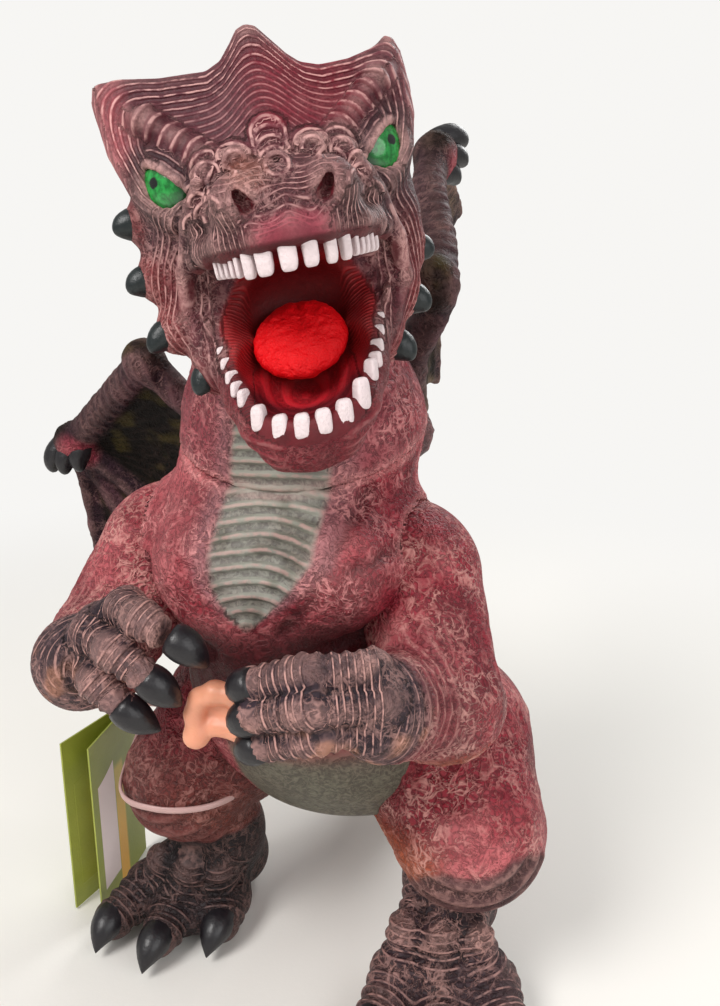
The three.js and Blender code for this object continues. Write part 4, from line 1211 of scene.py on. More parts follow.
def press_creases(skin):
    x, y, z = skin.xyz
    for line, depth in CHEST_CREASES:
        near = flat_distance(x, z, list(zip(line, line[1:])))
        share = smooth(4.5, 0.5, near) * smooth(-22, -34, y)
        skin.push(-depth * share)
        # Darker along the creases: painted shade.
        skin.colour(DEEP_CRIMSON * 0.6, share * 0.7)


def torso_clay():
    clay = Clay((-84, -92, 66), (76, 72, 268), step=1.48)
    clay.add(torso_solid(), blend=0)
    for side, centre in SHOULDERS.items():
        clay.add(ball(centre - [side * 7, 0, 0], SHOULDER_SIZE + 2), blend=16)
        clay.tube([WING_SEATS[side] + WING_AXES[side] * 14, WING_ROOTS[side]], [12.6, 17], blend=9)
    clay.add(ball((-30, -52, 196), (24, 20, 22)), ball((16, -52, 198), (20, 20, 22)), blend=14)
    clay.tube([TAIL_AT - TAIL_AXIS * 20, TAIL_AT - TAIL_AXIS * 6], [34, 31], blend=14)
    x, y, z = clay.grid()
    seam = above_seam(x, y, z)
    clay.keep(seam, 0.4)
    for centre in SHOULDERS.values():
        clay.cut(ball(centre, SHOULDER_SIZE + SOCKET_GAP), blend=0.8)
    clay.cut(*run([TAIL_AT, TAIL_AT + TAIL_AXIS * 60], [31.5, 31.5]), blend=0.8)
    inner = torso_solid(WALL + 1.5)[0](x, y, z)
    for centre in SHOULDERS.values():
        inner = np.maximum(inner, SHOULDER_ROOM - away(x, y, z, centre))
    inner = np.maximum(inner, TAIL_ROOM - away(x, y, z, TAIL_AT))
    inner = np.maximum(inner, seam + WALL)
    clay.keep(-inner, 0)
    return clay


def paint_body(skin, red=1.0):
    """Crimson in front and on top of the limbs, smoky brown behind, mottled all over."""
    points = skin.points
    y = points[:, 1]
    cloud = clouds(points, 22, 9)
    skin.colour(PINK, smooth(0.48, 0.72, cloud) * 0.5 * red)
    skin.colour(DEEP_CRIMSON, smooth(0.46, 0.25, cloud) * 0.6)
    back = smooth(4, 34, y + 10 * (cloud - 0.5))
    skin.colour(paint(92, 62, 62), back * 0.85)
    skin.colour(DARK_BROWN, smooth(24, 46, y) * 0.7)
    skin.dry = 0.8 + 0.2 * cloud
    skin.grain = np.full(len(points), 0.9)


def paint_torso(skin):
    paint_body(skin)
    points = skin.points
    x, y, z = points.T
    front = smooth(-20, -34, y)
    for seat in WING_SEATS.values():
        boss = smooth(36, 22, np.linalg.norm(points - seat, axis=1))
        skin.colour(DARK_BROWN, boss * 0.8)
        skin.dry = skin.dry * (1 - 0.6 * boss)
    press_creases(skin)
    shaded = smooth(188, 170, z) * smooth(116, 140, z) * front
    skin.colour(paint(66, 4, 12), shaded * 0.9)
    lit = smooth(196, 214, z) * front * smooth(-24, -40, x)
    skin.colour(PINK, lit * 0.45)
    strip = strip_place(x, z)
    on_strip = smooth(1.12, 0.92, strip) * front * smooth(177, 183, z)
    border = smooth(1.7, 1.2, strip) * smooth(0.85, 1.05, strip) * front * smooth(177, 190, z)
    skin.colour(STRIP_EDGE, border * 0.7)
    skin.colour(paint(150, 151, 140), on_strip)
    skin.colour(paint(112, 112, 100), on_strip * smooth(0.5, 0.75, speckle(points, 7)) * 0.7)
    low = smooth(132, 118, z) * smooth(1.05, 0.9, np.abs(x - 8) / 36) * smooth(-2, -22, y)
    skin.colour(paint(112, 110, 94), low)
    skin.dry = skin.dry * (1 - 0.75 * low) * (1 - 0.55 * on_strip) * (1 - 0.95 * shaded)
    skin.grain = skin.grain * (1 - 0.8 * low) * (1 - 0.85 * on_strip) * (1 - 0.7 * shaded)
    skin.push(skin_wrinkles(points, 7.5, 0.7) * (1 - on_strip) * (1 - low) * (skin.deep > -5))
    bow = 0.09 * np.square(strip * 3)
    skin.lines((z + bow * 3) / PLATE_PITCH, 0.92 * on_strip)
    skin.swell(0.85)


def neck_rods(wall):
    """Ends and radii of the rods that make up the neck and its nape, drawn in by wall."""
    skull = np.array([-5.0, -34, 292])
    middle = (NECK_AT + skull) / 2 + [0, -2, -2]
    base, top = NECK_AT - NECK_AXIS * 24, NECK_AT + NECK_AXIS * 2
    throat = ([base, top, middle, skull], [47.6, 47, 34, 29])
    nape = ([top + [0, 8, 0], np.array([-9.0, -9, 290]), np.array([-9.0, -30, 314])], [35, 27, 23])
    return rod_ends(*throat, wall) + rod_ends(*nape, wall)


def neck_clay():
    clay, inner = (Clay((-62, -100, 222), (54, 52, 356), step=1.5) for _ in range(2))
    clay.add(*(rod(*ends) for ends in neck_rods(0)), blend=10)
    inner.add(*(rod(*ends) for ends in neck_rods(NECK_WALL)), blend=10)
    x, y, z = clay.grid()
    seam = above_seam(x, y, z)
    clay.keep(0.2 - seam, 0.4)
    clay.keep(-np.maximum(inner.d, SEAM_WALL - seam), 0)
    clay.cut(ball(on_head([(0, -8, -46)])[0], (27, 27, 26)), blend=0)
    return clay


def paint_neck(skin):
    paint_body(skin)
    points = skin.points
    x, y, z = points.T
    front = smooth(-24, -36, y)
    skin.colour(paint(132, 58, 68), front * 0.7)
    skin.colour(SMOKE, smooth(34, 46, x) * 0.5)
    skin.colour(DARK_BROWN, smooth(0.0, 0.75, skin.normals[:, 1] + 0.5 * (speckle(points, 14) - 0.5)) * 0.85)
    strip = strip_place(x, z)
    on_strip = smooth(1.12, 0.92, strip) * front
    skin.colour(STRIP_EDGE, smooth(1.7, 1.2, strip) * (1 - on_strip) * front * 0.6)
    skin.colour(paint(140, 141, 130), on_strip)
    skin.dry *= 1 - 0.55 * on_strip
    skin.grain *= 1 - 0.85 * on_strip
    skin.push(skin_wrinkles(points, 7.5, 0.7) * (1 - on_strip) * smooth(3, 8, above_seam(x, y, z)))
    skin.lines((z + 0.8 * strip ** 2) / PLATE_PITCH, 0.9 * on_strip)
    skin.swell(0.8)


def make_torso():
    skin = Skin(torso_clay(), CRIMSON)
    paint_torso(skin)
    skin.make("torso_skin", "torso", ["torso_shell"], VINYL)
    neck = Skin(neck_clay(), CRIMSON)
    paint_neck(neck)
    neck.make("neck_skin", "head", [], VINYL)


# Arms
ARM = {
    LEFT: [(34, -16, 190), (56, -45, 148), (42, -76, 159), (28, -85, 167)],
    RIGHT: [(-70, -16, 190), (-92, -45, 148), (-78, -76, 159), (-64, -82, 171)],
}
FINGERS = {
    LEFT: [
        [(39, -90, 179), (20, -99, 178.5), (4, -99, 173), (-2, -95, 168)],
        [(40, -92, 169), (22, -103, 169), (5, -102, 163), (0, -97, 157)],
        [(38, -89, 158), (22, -99, 157), (6, -99, 151), (0, -94, 146)],
    ],
    RIGHT: [
        [(-52, -86, 188), (-36, -98, 190), (-23, -99, 185), (-17, -95, 177)],
        [(-62, -88, 176), (-45, -101, 178), (-33, -101, 170), (-27, -97, 162)],
        [(-70, -84, 163), (-56, -98, 164), (-46, -98, 156), (-39, -93, 148)],
    ],
}


def arm_clay(side):
    points = np.array(ARM[side], float)
    low, high = points.min(0) - [36, 26, 32], points.max(0) + [36, 45, 32]
    clay = Clay(low, high, step=1.15)
    shoulder, elbow, wrist, palm = points
    clay.add(ball(shoulder, SHOULDER_SIZE), blend=0)
    clay.tube([shoulder + [side * 5, -4, -4], elbow], [25.5, 21.5], blend=6)
    clay.tube([elbow, wrist, palm], [20, 16.5, 11], blend=8)
    clay.add(ball(elbow + [side * 4, 10, -5], (15, 14, 13)), blend=10)
    shifts = ((side * 2, 6, -2), (side * 3, 5, 0), (side * 2, 6, 2))
    back = [np.array(finger[0], float) + shift for finger, shift in zip(FINGERS[side], shifts)]
    clay.tube(back, [7.6, 8.8, 7.6], blend=5)
    for finger in FINGERS[side]:
        clay.tube(finger[:3], [6.4, 6.3, 5.6], blend=2)
        root, knuckle = places(finger[:2])
        clay.add(ball(knuckle * 0.8 + root * 0.2, 6.8), blend=2)
    return clay


def paint_arm(skin, side):
    paint_body(skin)
    points = skin.points
    shoulder, elbow, wrist, palm = places(ARM[side])
    lower = wrist - elbow
    forearm = (points - elbow) @ lower / (lower @ lower)
    upper = np.linalg.norm(points - shoulder, axis=1)
    on_hand = smooth(0.75, 1.15, forearm + 0.12 * (speckle(points, 8) - 0.5)) * smooth(30, 40, upper)
    skin.colour(paint(120, 66, 68), smooth(0.0, 0.5, forearm) * smooth(34, 46, upper) * 0.6)
    under = smooth(-6, -16, (points - elbow)[:, 2]) * smooth(0.7, 0.1, np.abs(forearm))
    skin.colour(paint(164, 92, 60), under * 0.6)
    skin.colour(HAND, on_hand)
    reach, off = line_place(points, FINGERS[side])
    on_finger = smooth(11, 8, off) * on_hand
    ridges = (points @ unit(lower)) / 4.2
    skin.lines(ridges, 0.55 * smooth(0.15, 0.6, forearm) * smooth(32, 44, upper) * (1 - on_finger))
    skin.lines(reach / 4.6, 0.95 * on_finger)
    gold = smooth(0.55, 0.8, speckle(points, 6)) * on_hand * smooth(0, -10, (points - palm)[:, 2])
    skin.colour(paint(190, 130, 96), gold * 0.5)
    skin.dry = np.maximum(skin.dry, 0.95 * on_hand)
    skin.grain *= 1 - 0.45 * on_hand
    skin.push(skin_wrinkles(points, 6.5, 0.6) * smooth(29, 36, upper) * (1 - on_hand))
    skin.swell(0.6)
    skin.lines(ridges * 1.9, 0.7 * on_hand * (1 - on_finger))
    skin.lines(reach / 2.4, 0.99 * on_finger)


def make_arm(side):
    name = SIDE_NAMES[side] + "_arm"
    skin = Skin(arm_clay(side), CRIMSON)
    paint_arm(skin, side)
    skin.make(name + "_skin", name, [name], LIMB_VINYL)
    forms = []
    for finger in FINGERS[side]:
        before, start, tip = places(finger[1:])
        way = unit(start - before)
        end = tip + (tip - start) * 0.4
        forms.append(horn(start - way * 1.5, start + way * 6, end, radius=5.5, swell=0.8, ease=0.8))
    make_claws(name, forms, name)


def make_thumb():
    """The bare palm and thumb of the left hand."""
    clay = Clay((-36, -104, 132), (22, -72, 174), step=0.9)
    rim = [
        (-21, -91, 148), (-22, -91, 154), (-20, -91, 160), (-14, -91, 163.5),
        (-6, -90, 163), (3, -88, 160), (10, -87, 156),
    ]
    clay.tube(rim, [4.2, 3.4, 3.4, 3.6, 3.8, 4.2, 5], blend=3)
    clay.add(ball((-8, -87, 155), (14, 3.4, 9)), ball((-21.5, -92, 145.5), (4.6, 4.4, 4.2)), blend=3)
    clay.tube([(-14, -90, 149.5), (-5, -89, 149), (8, -87, 149)], [3.2, 3.6, 5], blend=3)
    points, quads = clay.mesh()
    material = plain_material("thumb_paint", PEACH, 0.42, 4.0, 0.35, 0.25, Subsurface_Weight=0.1)
    mesh_object("left_thumb", points, quads, "left_arm", material)


# Legs
LEG = {
    LEFT: [(44.5, 2.6, 105), (63.5, -23.4, 82), (53, -5, 44), (56, 10.6, 17), (58, -36, 13)],
    RIGHT: [(-46.3, 2.6, 105), (-65.3, -23.4, 82), (-60, -4, 44), (-61.3, 10.6, 17), (-71, -23, 13)],
}
TOE_OUT = {LEFT: 0.2, RIGHT: 0.0}  # share by which the toes turn outwards
INNER_TOE_BACK = {LEFT: 0.0, RIGHT: 13.0}
THIGH_SIZES = {LEFT: (41.0, 31.5), RIGHT: (40.0, 28.5)}
THIGH_WALL = 5.0
# Ways from the knee to its cap and to the folds below it
KNEECAP = {side: np.array([side * 0.15, -0.79, 0.59]) for side in BOTH_SIDES}
KNEE_FOLD = {side: np.array([side * 0.34, -0.49, -0.76]) for side in BOTH_SIDES}
KNEECAP_REACH = 21.0
TOE_SPREAD, TOE_REACH = 27.0, 32.0
# The right foot is painted darker and dry-brushed less than the left: painted shade.
FOOT_PAINT_AND_SHADE = {LEFT: paint(56, 38, 44), RIGHT: paint(30, 20, 23)}
FOOT_DRY_AND_SHADE = {LEFT: 0.62, RIGHT: 0.26}
FLOOR_GAP = 0.1


def toes(side):
    ankle, _, ball_at = places(LEG[side][2:])
    lines = []
    for i in (-1, 0, 1):
        back = INNER_TOE_BACK[side] if i == -side else 0.0
        knuckle = ball_at + [i * TOE_SPREAD * 0.7 - i * back * 0.3, -4 + 4 * abs(i) + back * 0.6, 3]
        tip = knuckle + [i * TOE_SPREAD * 0.28, -TOE_REACH * 0.66 + back * 0.4, -5]
        for place in (knuckle, tip):
            away = place - ball_at
            place += [side * TOE_OUT[side] * -away[1], side * TOE_OUT[side] * away[0], 0]
        root = ankle + [i * 11, -15, -4]
        lines.append([root, (root + knuckle) / 2 + [0, -5, 6], knuckle, tip])
    return lines


def thigh_rods(side, wall):
    """Ends and radii of the rod that makes up a thigh, drawn in by wall."""
    return rod_ends(places(LEG[side][:2]), THIGH_SIZES[side], wall)


def leg_clay(side):
    hip, knee, ankle, heel, foot = places(LEG[side])
    low = np.minimum(hip, foot) - [46, 58, 0]
    high = np.maximum(hip, knee) + [46, 46, 44]
    clay, inner = (Clay((low[0], low[1] - 22, -3), high, step=1.35) for _ in range(2))
    clay.add(*(rod(*ends) for ends in thigh_rods(side, 0)), blend=0)
    clay.tube([knee + (ankle - knee) * 0.35, ankle], [22, 18], blend=4)
    clay.tube([ankle, heel], [18, 17], blend=8)
    clay.tube([ankle + [0, -3, -6], foot + [0, 6, 4]], [17, 18], blend=10)
    clay.add(ball(foot + [0, 4, 0], (31, 22, 15)), blend=8)
    for line in toes(side):
        clay.tube(line[:3], [5, 6.5, 8], blend=5)
        clay.tube(line[2:], [11, 9], blend=4)
        clay.add(ball(line[2] + [0, -2, 1], (10.5, 10, 10)), blend=4)
    clay.cut(*run([TAIL_AT, TAIL_AT + [0, 32, -26]], [34, 29]), blend=2)
    z = clay.grid()[2]
    clay.keep(np.broadcast_to(-z, clay.d.shape), 1.5)
    inner.add(*(rod(*ends) for ends in thigh_rods(side, THIGH_WALL)), blend=0)
    clay.keep(-inner.d, 0)
    return clay


def paint_leg(skin, side):
    paint_body(skin, 1.2)
    points = skin.points
    x, y, z = points.T
    hip, knee = places(LEG[side][:2])
    inner = smooth(2, -11, side * (x - knee[0])) * smooth(20, -6, y)
    skin.colour(ORANGE, inner * smooth(50, 58, z) * smooth(98, 74, z) * 0.92)
    skin.colour(paint(84, 20, 26), smooth(8, -14, side * (x - hip[0])) * smooth(78, 96, z) * 0.5)
    way = unit(points - knee)
    past_cap = np.arccos(np.clip(way @ KNEECAP[side], -1, 1)) * THIGH_SIZES[side][1] - KNEECAP_REACH
    knee_band = smooth(-1, 2.5, past_cap + 2 * (speckle(points, 10) - 0.5)) * smooth(46, 52, z)
    knee_band *= smooth(0.38, 0.52, way @ KNEE_FOLD[side])
    skin.colour(paint(66, 42, 44), knee_band * 0.95)
    foot_part = smooth(56, 51, z + 5 * (speckle(points, 9) - 0.5))
    skin.colour(FOOT_PAINT_AND_SHADE[side], foot_part)
    skin.colour(paint(34, 22, 26), foot_part * smooth(0.5, 0.3, speckle(points, 12)) * 0.6)
    # On the right leg: a darker brown-red on the front above the foot, partly its orange-brown paint and
    # partly painted shade from the arm above it; the whole leg is dry-brushed less, which adds to the painted
    # shade.
    if side == RIGHT:
        skin.colour(paint(92, 34, 30), (1 - foot_part) * smooth(116, 96, z) * smooth(20, 0, y) * 0.9)
        skin.dry *= 0.4
    reach, off = line_place(points, toes(side))
    tendon = smooth(15, 9, off) * foot_part * smooth(1, 4, z)
    skin.lines(reach / 6.2, 0.8 * tendon)
    skin.lines(past_cap / 11.0 - 0.4, 0.8 * knee_band * (1 - foot_part))
    skin.dry = np.maximum(skin.dry * (1 - foot_part), FOOT_DRY_AND_SHADE[side] * foot_part) * (1 - 0.5 * knee_band)
    skin.push(skin_wrinkles(points, 9.0, 0.95) * (1 - foot_part) * (1 - knee_band) * smooth(2, 6, z))
    skin.swell((0.8 + 0.7 * knee_band) * smooth(1.5, 5, z))
    skin.lines(reach / 3.1, 0.95 * tendon)


def above_floor(points):
    return np.maximum(points, [-FAR, -FAR, FLOOR_GAP])


def make_leg(side):
    name = SIDE_NAMES[side] + "_leg"
    skin = Skin(leg_clay(side), CRIMSON)
    paint_leg(skin, side)
    skin.make(name + "_skin", "torso", [name], LIMB_VINYL)
    forms = []
    for line in toes(side):
        tip = line[3]
        forms.append(horn(tip + [0, 3, 2], tip + [0, -9, 3], tip + [0, -15.5, -6.2], radius=6.9, swell=0.7))
    make_claws(name, forms, "torso", above_floor)


# Tail: places from its root, and radii
TAIL = [
    (0, 0, 0, 30.5), (0, 32, -26, 25), (0, 74, -66, 18.5),
    (0, 120, -80, 13), (0, 170, -85.5, 7), (0, 190, -87, 4),
]
TAIL_LINE = np.array([p[:3] for p in TAIL]) + TAIL_AT


def tail_clay():
    clay, inner = (Clay((-38, 34, -1), (40, 236, 134), step=1.5) for _ in range(2))
    radii = [p[3] for p in TAIL]
    clay.tube(TAIL_LINE, radii, blend=10)
    x, y, z = clay.grid()
    ahead = past_plane(x, y, z, TAIL_AT, TAIL_AXIS)
    clay.keep(0.4 - ahead, 1.0)
    clay.keep(np.broadcast_to(1.0 - z, clay.d.shape), 1.5)
    inner.tube(TAIL_LINE[:3], [r - TAIL_WALL for r in radii[:3]], blend=6)
    clay.keep(-np.maximum(inner.d, SEAM_WALL - ahead), 0)
    return clay


def make_tail():
    skin = Skin(tail_clay(), CRIMSON)
    points = skin.points
    y, z = points.T[1:]
    cloud = clouds(points, 20, 8)
    reach, off = line_place(points, [TAIL_LINE])
    centre_z = np.interp(y, TAIL_LINE[:, 1], TAIL_LINE[:, 2])
    above = (z - centre_z) / np.maximum(off, 1)
    skin.colour(PINK, smooth(0.5, 0.75, cloud) * 0.4)
    skin.colour(DARK_BROWN, smooth(-0.1, 0.7, above + 0.5 * (cloud - 0.5)) * 0.85)
    skin.colour(HAND, smooth(110, 190, reach) * 0.7)
    skin.colour(BELLY, smooth(-0.55, -0.8, above) * 0.8)
    skin.lines(reach / 6.0, 0.65 * smooth(4, 14, reach))
    skin.dry = 0.5 + 0.25 * cloud
    skin.grain = np.full(len(points), 0.7)
    skin.push(skin_wrinkles(points, 7.5, 0.7) * smooth(3, 10, reach) * smooth(2, 5, z))
    skin.swell(0.7 * smooth(2, 5, z))
    skin.make("tail_skin", "tail", ["tail"], VINYL)


# Wings: places along the arm, down the membrane and proud of it
WING_SWING = {LEFT: 20.0, RIGHT: 116.0}
WING_RISE = 19.0
WING_ARM = np.array([(2, 11), (24, 17), (60, -50), (142, 0)], float)
WING_ARM_RADII = [7.5, 8, 7.5, 8]
WING_TIPS = np.array([(168, 106), (112, 116), (60, 92)], float)
WING_INNER = (22, 34)
SCALLOP, BILLOW, WING_BOW = 9.0, 4.5, 11.0
ELBOW_BEND = {LEFT: 9.5, RIGHT: 0.0}
TRAIL_BEND = {LEFT: 8.0, RIGHT: 18.0}


def wing_frame(side):
    axis = WING_AXES[side]
    upright = unit(np.array([0, 0, 1.0]) - axis * axis[2])
    swing = math.radians(-side * WING_SWING[side])
    out = upright * math.cos(swing) + np.cross(axis, upright) * math.sin(swing)
    rise = math.radians(WING_RISE)
    arm = out * math.cos(rise) + axis * math.sin(rise)
    trail = out * 0.36 - axis * 0.88 - side * 0.3 * np.cross(axis, out)
    trail = unit(trail - arm * (trail @ arm))
    return np.stack([arm, trail, side * np.cross(arm, trail)])


def wing_outline():
    corners = [np.array(WING_INNER, float), *WING_TIPS[::-1]]
    edge = []
    for a, b in zip(corners, corners[1:]):
        for t in np.linspace(0, 1, 9)[:-1]:
            p = a + (b - a) * t
            edge.append((p[0], p[1] - SCALLOP * math.sin(math.pi * t)))
    edge.append(tuple(corners[-1]))
    return edge + [tuple(p) for p in WING_ARM[:0:-1]]


WING_BONES = [*zip(WING_ARM[1:], WING_ARM[2:]), *((WING_ARM[-1], tip) for tip in WING_TIPS)]


def wing_sag(u, v):
    """The membrane hangs back between the arm and the fingers."""
    near = flat_distance(u, v, WING_BONES)
    return BILLOW * (1 - np.exp(-np.square(near / 17)))


def flat(place, proud=0.0):
    return place[0], place[1], proud


def wing_clay(side):
    clay = Clay((-18, -66, -24), (182, 126, 28), step=1.3)
    outline = wing_outline()

    def membrane(u, v, w):
        flat_u, flat_v = u[:, :, 0], v[:, :, 0]
        inside = outline_distance(outline, flat_u, flat_v)[:, :, None]
        sag = wing_sag(flat_u, flat_v)[:, :, None]
        return soft_max(inside, np.abs(w - sag) - 1.7, 1.5)

    clay.add((membrane, np.array([10, -58, -6.0]), np.array([178, 122, 16.0])), blend=0)
    clay.tube([flat(p) for p in WING_ARM], WING_ARM_RADII, blend=5)
    clay.add(ball(flat(WING_ARM[2], 1), (9.5, 9, 8.5)), ball(flat(WING_ARM[-1]), (11, 11, 10)), blend=6)
    for tip in WING_TIPS:
        bend = (WING_ARM[-1] + tip) / 2
        clay.tube([flat(WING_ARM[-1]), flat(bend, 1.0), flat(tip)], [6, 4, 2.2], blend=4)
    axis = wing_frame(side) @ WING_AXES[side]
    hub = rod(-13 * axis, -11.5 * axis, 11, 11)
    clay.add(hub, blend=5)
    u, v, w = clay.grid()
    past = past_plane(u, v, w, (0, 0, 0), axis)
    off = np.sqrt(np.maximum(u * u + v * v + w * w - past * past, 0))
    clay.keep(np.where(off < 20, past + 0.4, -50), 0)
    return clay


def wing_place(side):
    """Puts points of the flat wing, bowed and bent, on the figure."""
    def place(points):
        bowed = np.array(points, float)
        u, v = bowed[:, 0], bowed[:, 1]
        bowed[:, 2] += WING_BOW * smooth(20, 150, u) - TRAIL_BEND[side] * smooth(0, 95, v)
        bowed[:, 2] -= ELBOW_BEND[side] * smooth(-10, -45, v)
        return bowed @ wing_frame(side) + WING_SEATS[side]

    return place


def paint_wing(skin, side):
    u, v, w = skin.xyz
    points = skin.points
    web = smooth(6, 11, flat_distance(u, v, WING_BONES))
    cloud = clouds(points, 16, 6)
    inner = smooth(-1, 1, w - wing_sag(u, v))
    skin.colour(paint(92, 60, 68), smooth(0.5, 0.75, cloud) * (1 - web) * 0.7)
    # The membrane near-black: its olive-black paint, darkened further as painted shade.
    skin.colour(paint(13, 8, 4), web * 0.97)
    skin.colour(paint(74, 64, 26), web * smooth(0.52, 0.72, cloud) * 0.6)
    skin.colour(paint(84, 66, 58), web * inner * 0.6)
    # Pale beige patches on the left wing only: painted highlight.
    if side == LEFT:
        skin.colour(paint(128, 108, 88), smooth(-20, 30, v) * smooth(0.15, 0.8, cloud) * 0.85)
    skin.colour(paint(176, 66, 84), smooth(14, 6, np.hypot(u - 137, v - 2)) * smooth(2, -4, w) * 0.75)
    wrist_u, wrist_v = WING_ARM[-1]
    skin.lines(np.arctan2(v - wrist_v, wrist_u - u) * 9, 0.3 * web)
    on_arm = smooth(9, 7, flat_distance(u, v, WING_BONES[:2]))
    skin.lines(u / 6.0, 0.4 * on_arm * smooth(16, 24, np.hypot(u - wrist_u, v - wrist_v)))
    skin.dry = 0.4 - 0.34 * web
    skin.grain = np.full(len(u), 0.55)
    skin.push(skin_wrinkles(points, 8, 0.45))
    skin.swell(0.5)


def make_wing(side):
    name = SIDE_NAMES[side] + "_wing"
    skin = Skin(wing_clay(side), WING_DARK)
    paint_wing(skin, side)
    skin.make(name + "_skin", name, [name], WING_VINYL, wing_place(side))
    forms = []
    for shift in (-8, 0, 8):
        start = np.append(WING_ARM[-1], 0) + [shift - 1, 0, 1]
        tip = start + [4 + shift * 0.25, 11, -15 + abs(shift) * 0.3]
        forms.append(horn(start, (start + tip) / 2 + [7, -1, -3], tip, radius=6.0, swell=0.5, ease=0.5))
    make_claws(name, forms, name, wing_place(side))


# Stuffing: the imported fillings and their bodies, with lumps and loose fibre
STUFFED = {
    "torso_filling": "torso", "head_filling": "head", "left_leg_filling": "torso",
    "right_leg_filling": "torso", "tail_filling": "tail",
}
STUFFING_GRID = 0.004  # in metres


def fibre_material():
    n = Nodes("stuffing_fibre")
    strands = n.noise(1.2, 6, 0.7)
    tone = n.mix(strands, paint(226, 222, 212), paint(246, 244, 238))
    n.bump(n.math("ADD", strands, n.noise(7, 3)), 1.2)
    return n.finish(tone, 0.95, Sheen_Weight=0.3)


def held_inside(points, rods, margin):
    """Points drawn in to the nearest of some rods until they lie deeper in it than margin."""
    best, held = np.full(len(points), FAR), points.copy()
    for a, b, start, end in rods:
        share, off = on_segment(points, a, b)
        axis = a + share[:, None] * (b - a)
        radius = start + (end - start) * share - margin
        pulled = axis + (points - axis) * np.minimum(1, radius / np.maximum(off, TINY))[:, None]
        nearer = off - radius < best
        best = np.where(nearer, off - radius, best)
        held = np.where(nearer[:, None], pulled, held)
    return held


def skull_rods():
    middles, radii = zip(*SKULL_HOLLOW)
    return rod_ends(on_head(middles), radii)


def stuffing_rods(node):
    """Rods along the hollow of the piece that a filling lies in."""
    if node == "head_filling":
        return neck_rods(NECK_WALL)[1:] + skull_rods()
    side = LEFT if "left" in node else RIGHT
    return thigh_rods(side, THIGH_WALL)


def remeshed(node):
    """Points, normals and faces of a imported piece, on an even grid."""
    stand = bpy.data.objects.new(node + "_copy", frame["nodes"][node].data.copy())
    bpy.context.scene.collection.objects.link(stand)
    grid = stand.modifiers.new("grid", "REMESH")
    grid.mode, grid.voxel_size = "VOXEL", STUFFING_GRID
    mesh = stand.evaluated_get(bpy.context.evaluated_depsgraph_get()).to_mesh()
    points = in_figure([v.co for v in mesh.vertices])
    normals = np.array([v.normal for v in mesh.vertices])
    faces = [list(p.vertices) for p in mesh.polygons]
    bpy.data.objects.remove(stand)
    return points, normals, faces


def make_fillings():
    material = fibre_material()
    for node, body in STUFFED.items():
        points, normals, faces = remeshed(node)
        lumps = 2.4 * speckle(points, 13) + 1.1 * speckle(points, 6)
        points = points - normals * lumps[:, None]
        if node == "head_filling" or "leg" in node:
            points = held_inside(points, stuffing_rods(node), 1.5)
        fibre = mesh_object(node.replace("filling", "fibre"), points, faces, body, material)
        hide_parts(node)


# Tag and loop
def tag_material():
    """Printed card: green and yellow bands, with a plain pale panel."""
    n = Nodes("printed_card")
    split = n.node("ShaderNodeSeparateXYZ")
    n.put(split.inputs[0], n.where)
    low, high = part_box("hang_tag")
    across = n.between(split.outputs["Y"], low.y, high.y)
    up = n.between(split.outputs["Z"], low.z, high.z)
    slant = n.math("ADD", up, n.times(across, -0.18))
    green = n.mix(n.noise(30, 3), paint(120, 136, 40), paint(168, 172, 74))
    thick = high.x - low.x
    leaf = n.between(split.outputs["X"], low.x + thick * 0.5, low.x + thick * 0.52)
    yellow = n.mix(n.between(up, 0.1, 0.9), paint(244, 184, 66), paint(214, 192, 78))
    band = n.times(n.between(across, 0.4, 0.42), n.between(across, 0.7, 0.64), n.between(up, 0.86, 0.8))
    card = n.mix(band, green, yellow)
    panel_width = n.times(n.between(across, 0.03, 0.035), n.between(across, 0.4, 0.395))
    panel = n.times(panel_width, n.between(up, 0.03, 0.035), n.between(slant, 0.82, 0.815))
    card = n.mix(leaf, green, n.mix(panel, card, paint(248, 230, 228)))
    n.bump(n.math("ADD", n.noise(1.5, 4), panel), 0.12)
    return n.finish(card, 0.42, Coat_Weight=0.15)


LOOP_RISE = 1.0  # of the loop above the middle of the knee
LOOP_GAP = 2.6  # between the skin of the knee and the middle of the loop
LOOP_HALF_THICK, LOOP_HALF_WIDE = 0.8, 1.5


def loop_route(count=160):
    """Round the right leg, out to the tag, through its hole and back round its folded edge."""
    leg = np.array(LEG[RIGHT][1], float) + [0, 0, LOOP_RISE]
    reach = THIGH_SIZES[RIGHT][1] + LOOP_GAP
    points = []
    for degrees in (-135, -90, -45, 0, 45, 90):
        angle = math.radians(degrees)
        points.append(leg + [reach * math.cos(angle), reach * math.sin(angle), 0])
    pivot = in_figure(JOINTS["tag_swing"]["pos_m"])
    points += [pivot + offset for offset in ((14, 18, 0), (-4, 16, 0), (-9, 4, 0), (0, 0, 0), (10, -3, 0))]
    points = np.array(points)
    t = np.arange(count) / count * len(points)
    i, f = t.astype(int), (t % 1)[:, None]
    p = [points[(i + k) % len(points)] for k in (-1, 0, 1, 2)]
    return 0.5 * (2 * p[1] + (p[2] - p[0]) * f + (2 * p[0] - 5 * p[1] + 4 * p[2] - p[3]) * f ** 2
                  + (3 * p[1] - p[0] - 3 * p[2] + p[3]) * f ** 3)


def make_loop(around=10):
    route = loop_route()
    way = unit(np.roll(route, -1, 0) - np.roll(route, 1, 0))
    side = unit(np.cross(way, [0, 0, 1.0]))
    up = np.cross(side, way)
    angle = ring_angles(around)[None, :, None]
    rings = route[:, None] + LOOP_HALF_THICK * np.cos(angle) * side[:, None]
    rings = rings + LOOP_HALF_WIDE * np.sin(angle) * up[:, None]
    faces = ring_faces(len(route), around, closed=True)
    material = plain_material(
        "loop_plastic", paint(206, 168, 164), 0.35, 3.0, 0.2, 0.1, Transmission_Weight=0.2
    )
    loop = mesh_object("loop_strip", rings.reshape(-1, 3), faces, "torso", material)
    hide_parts("tag_loop")


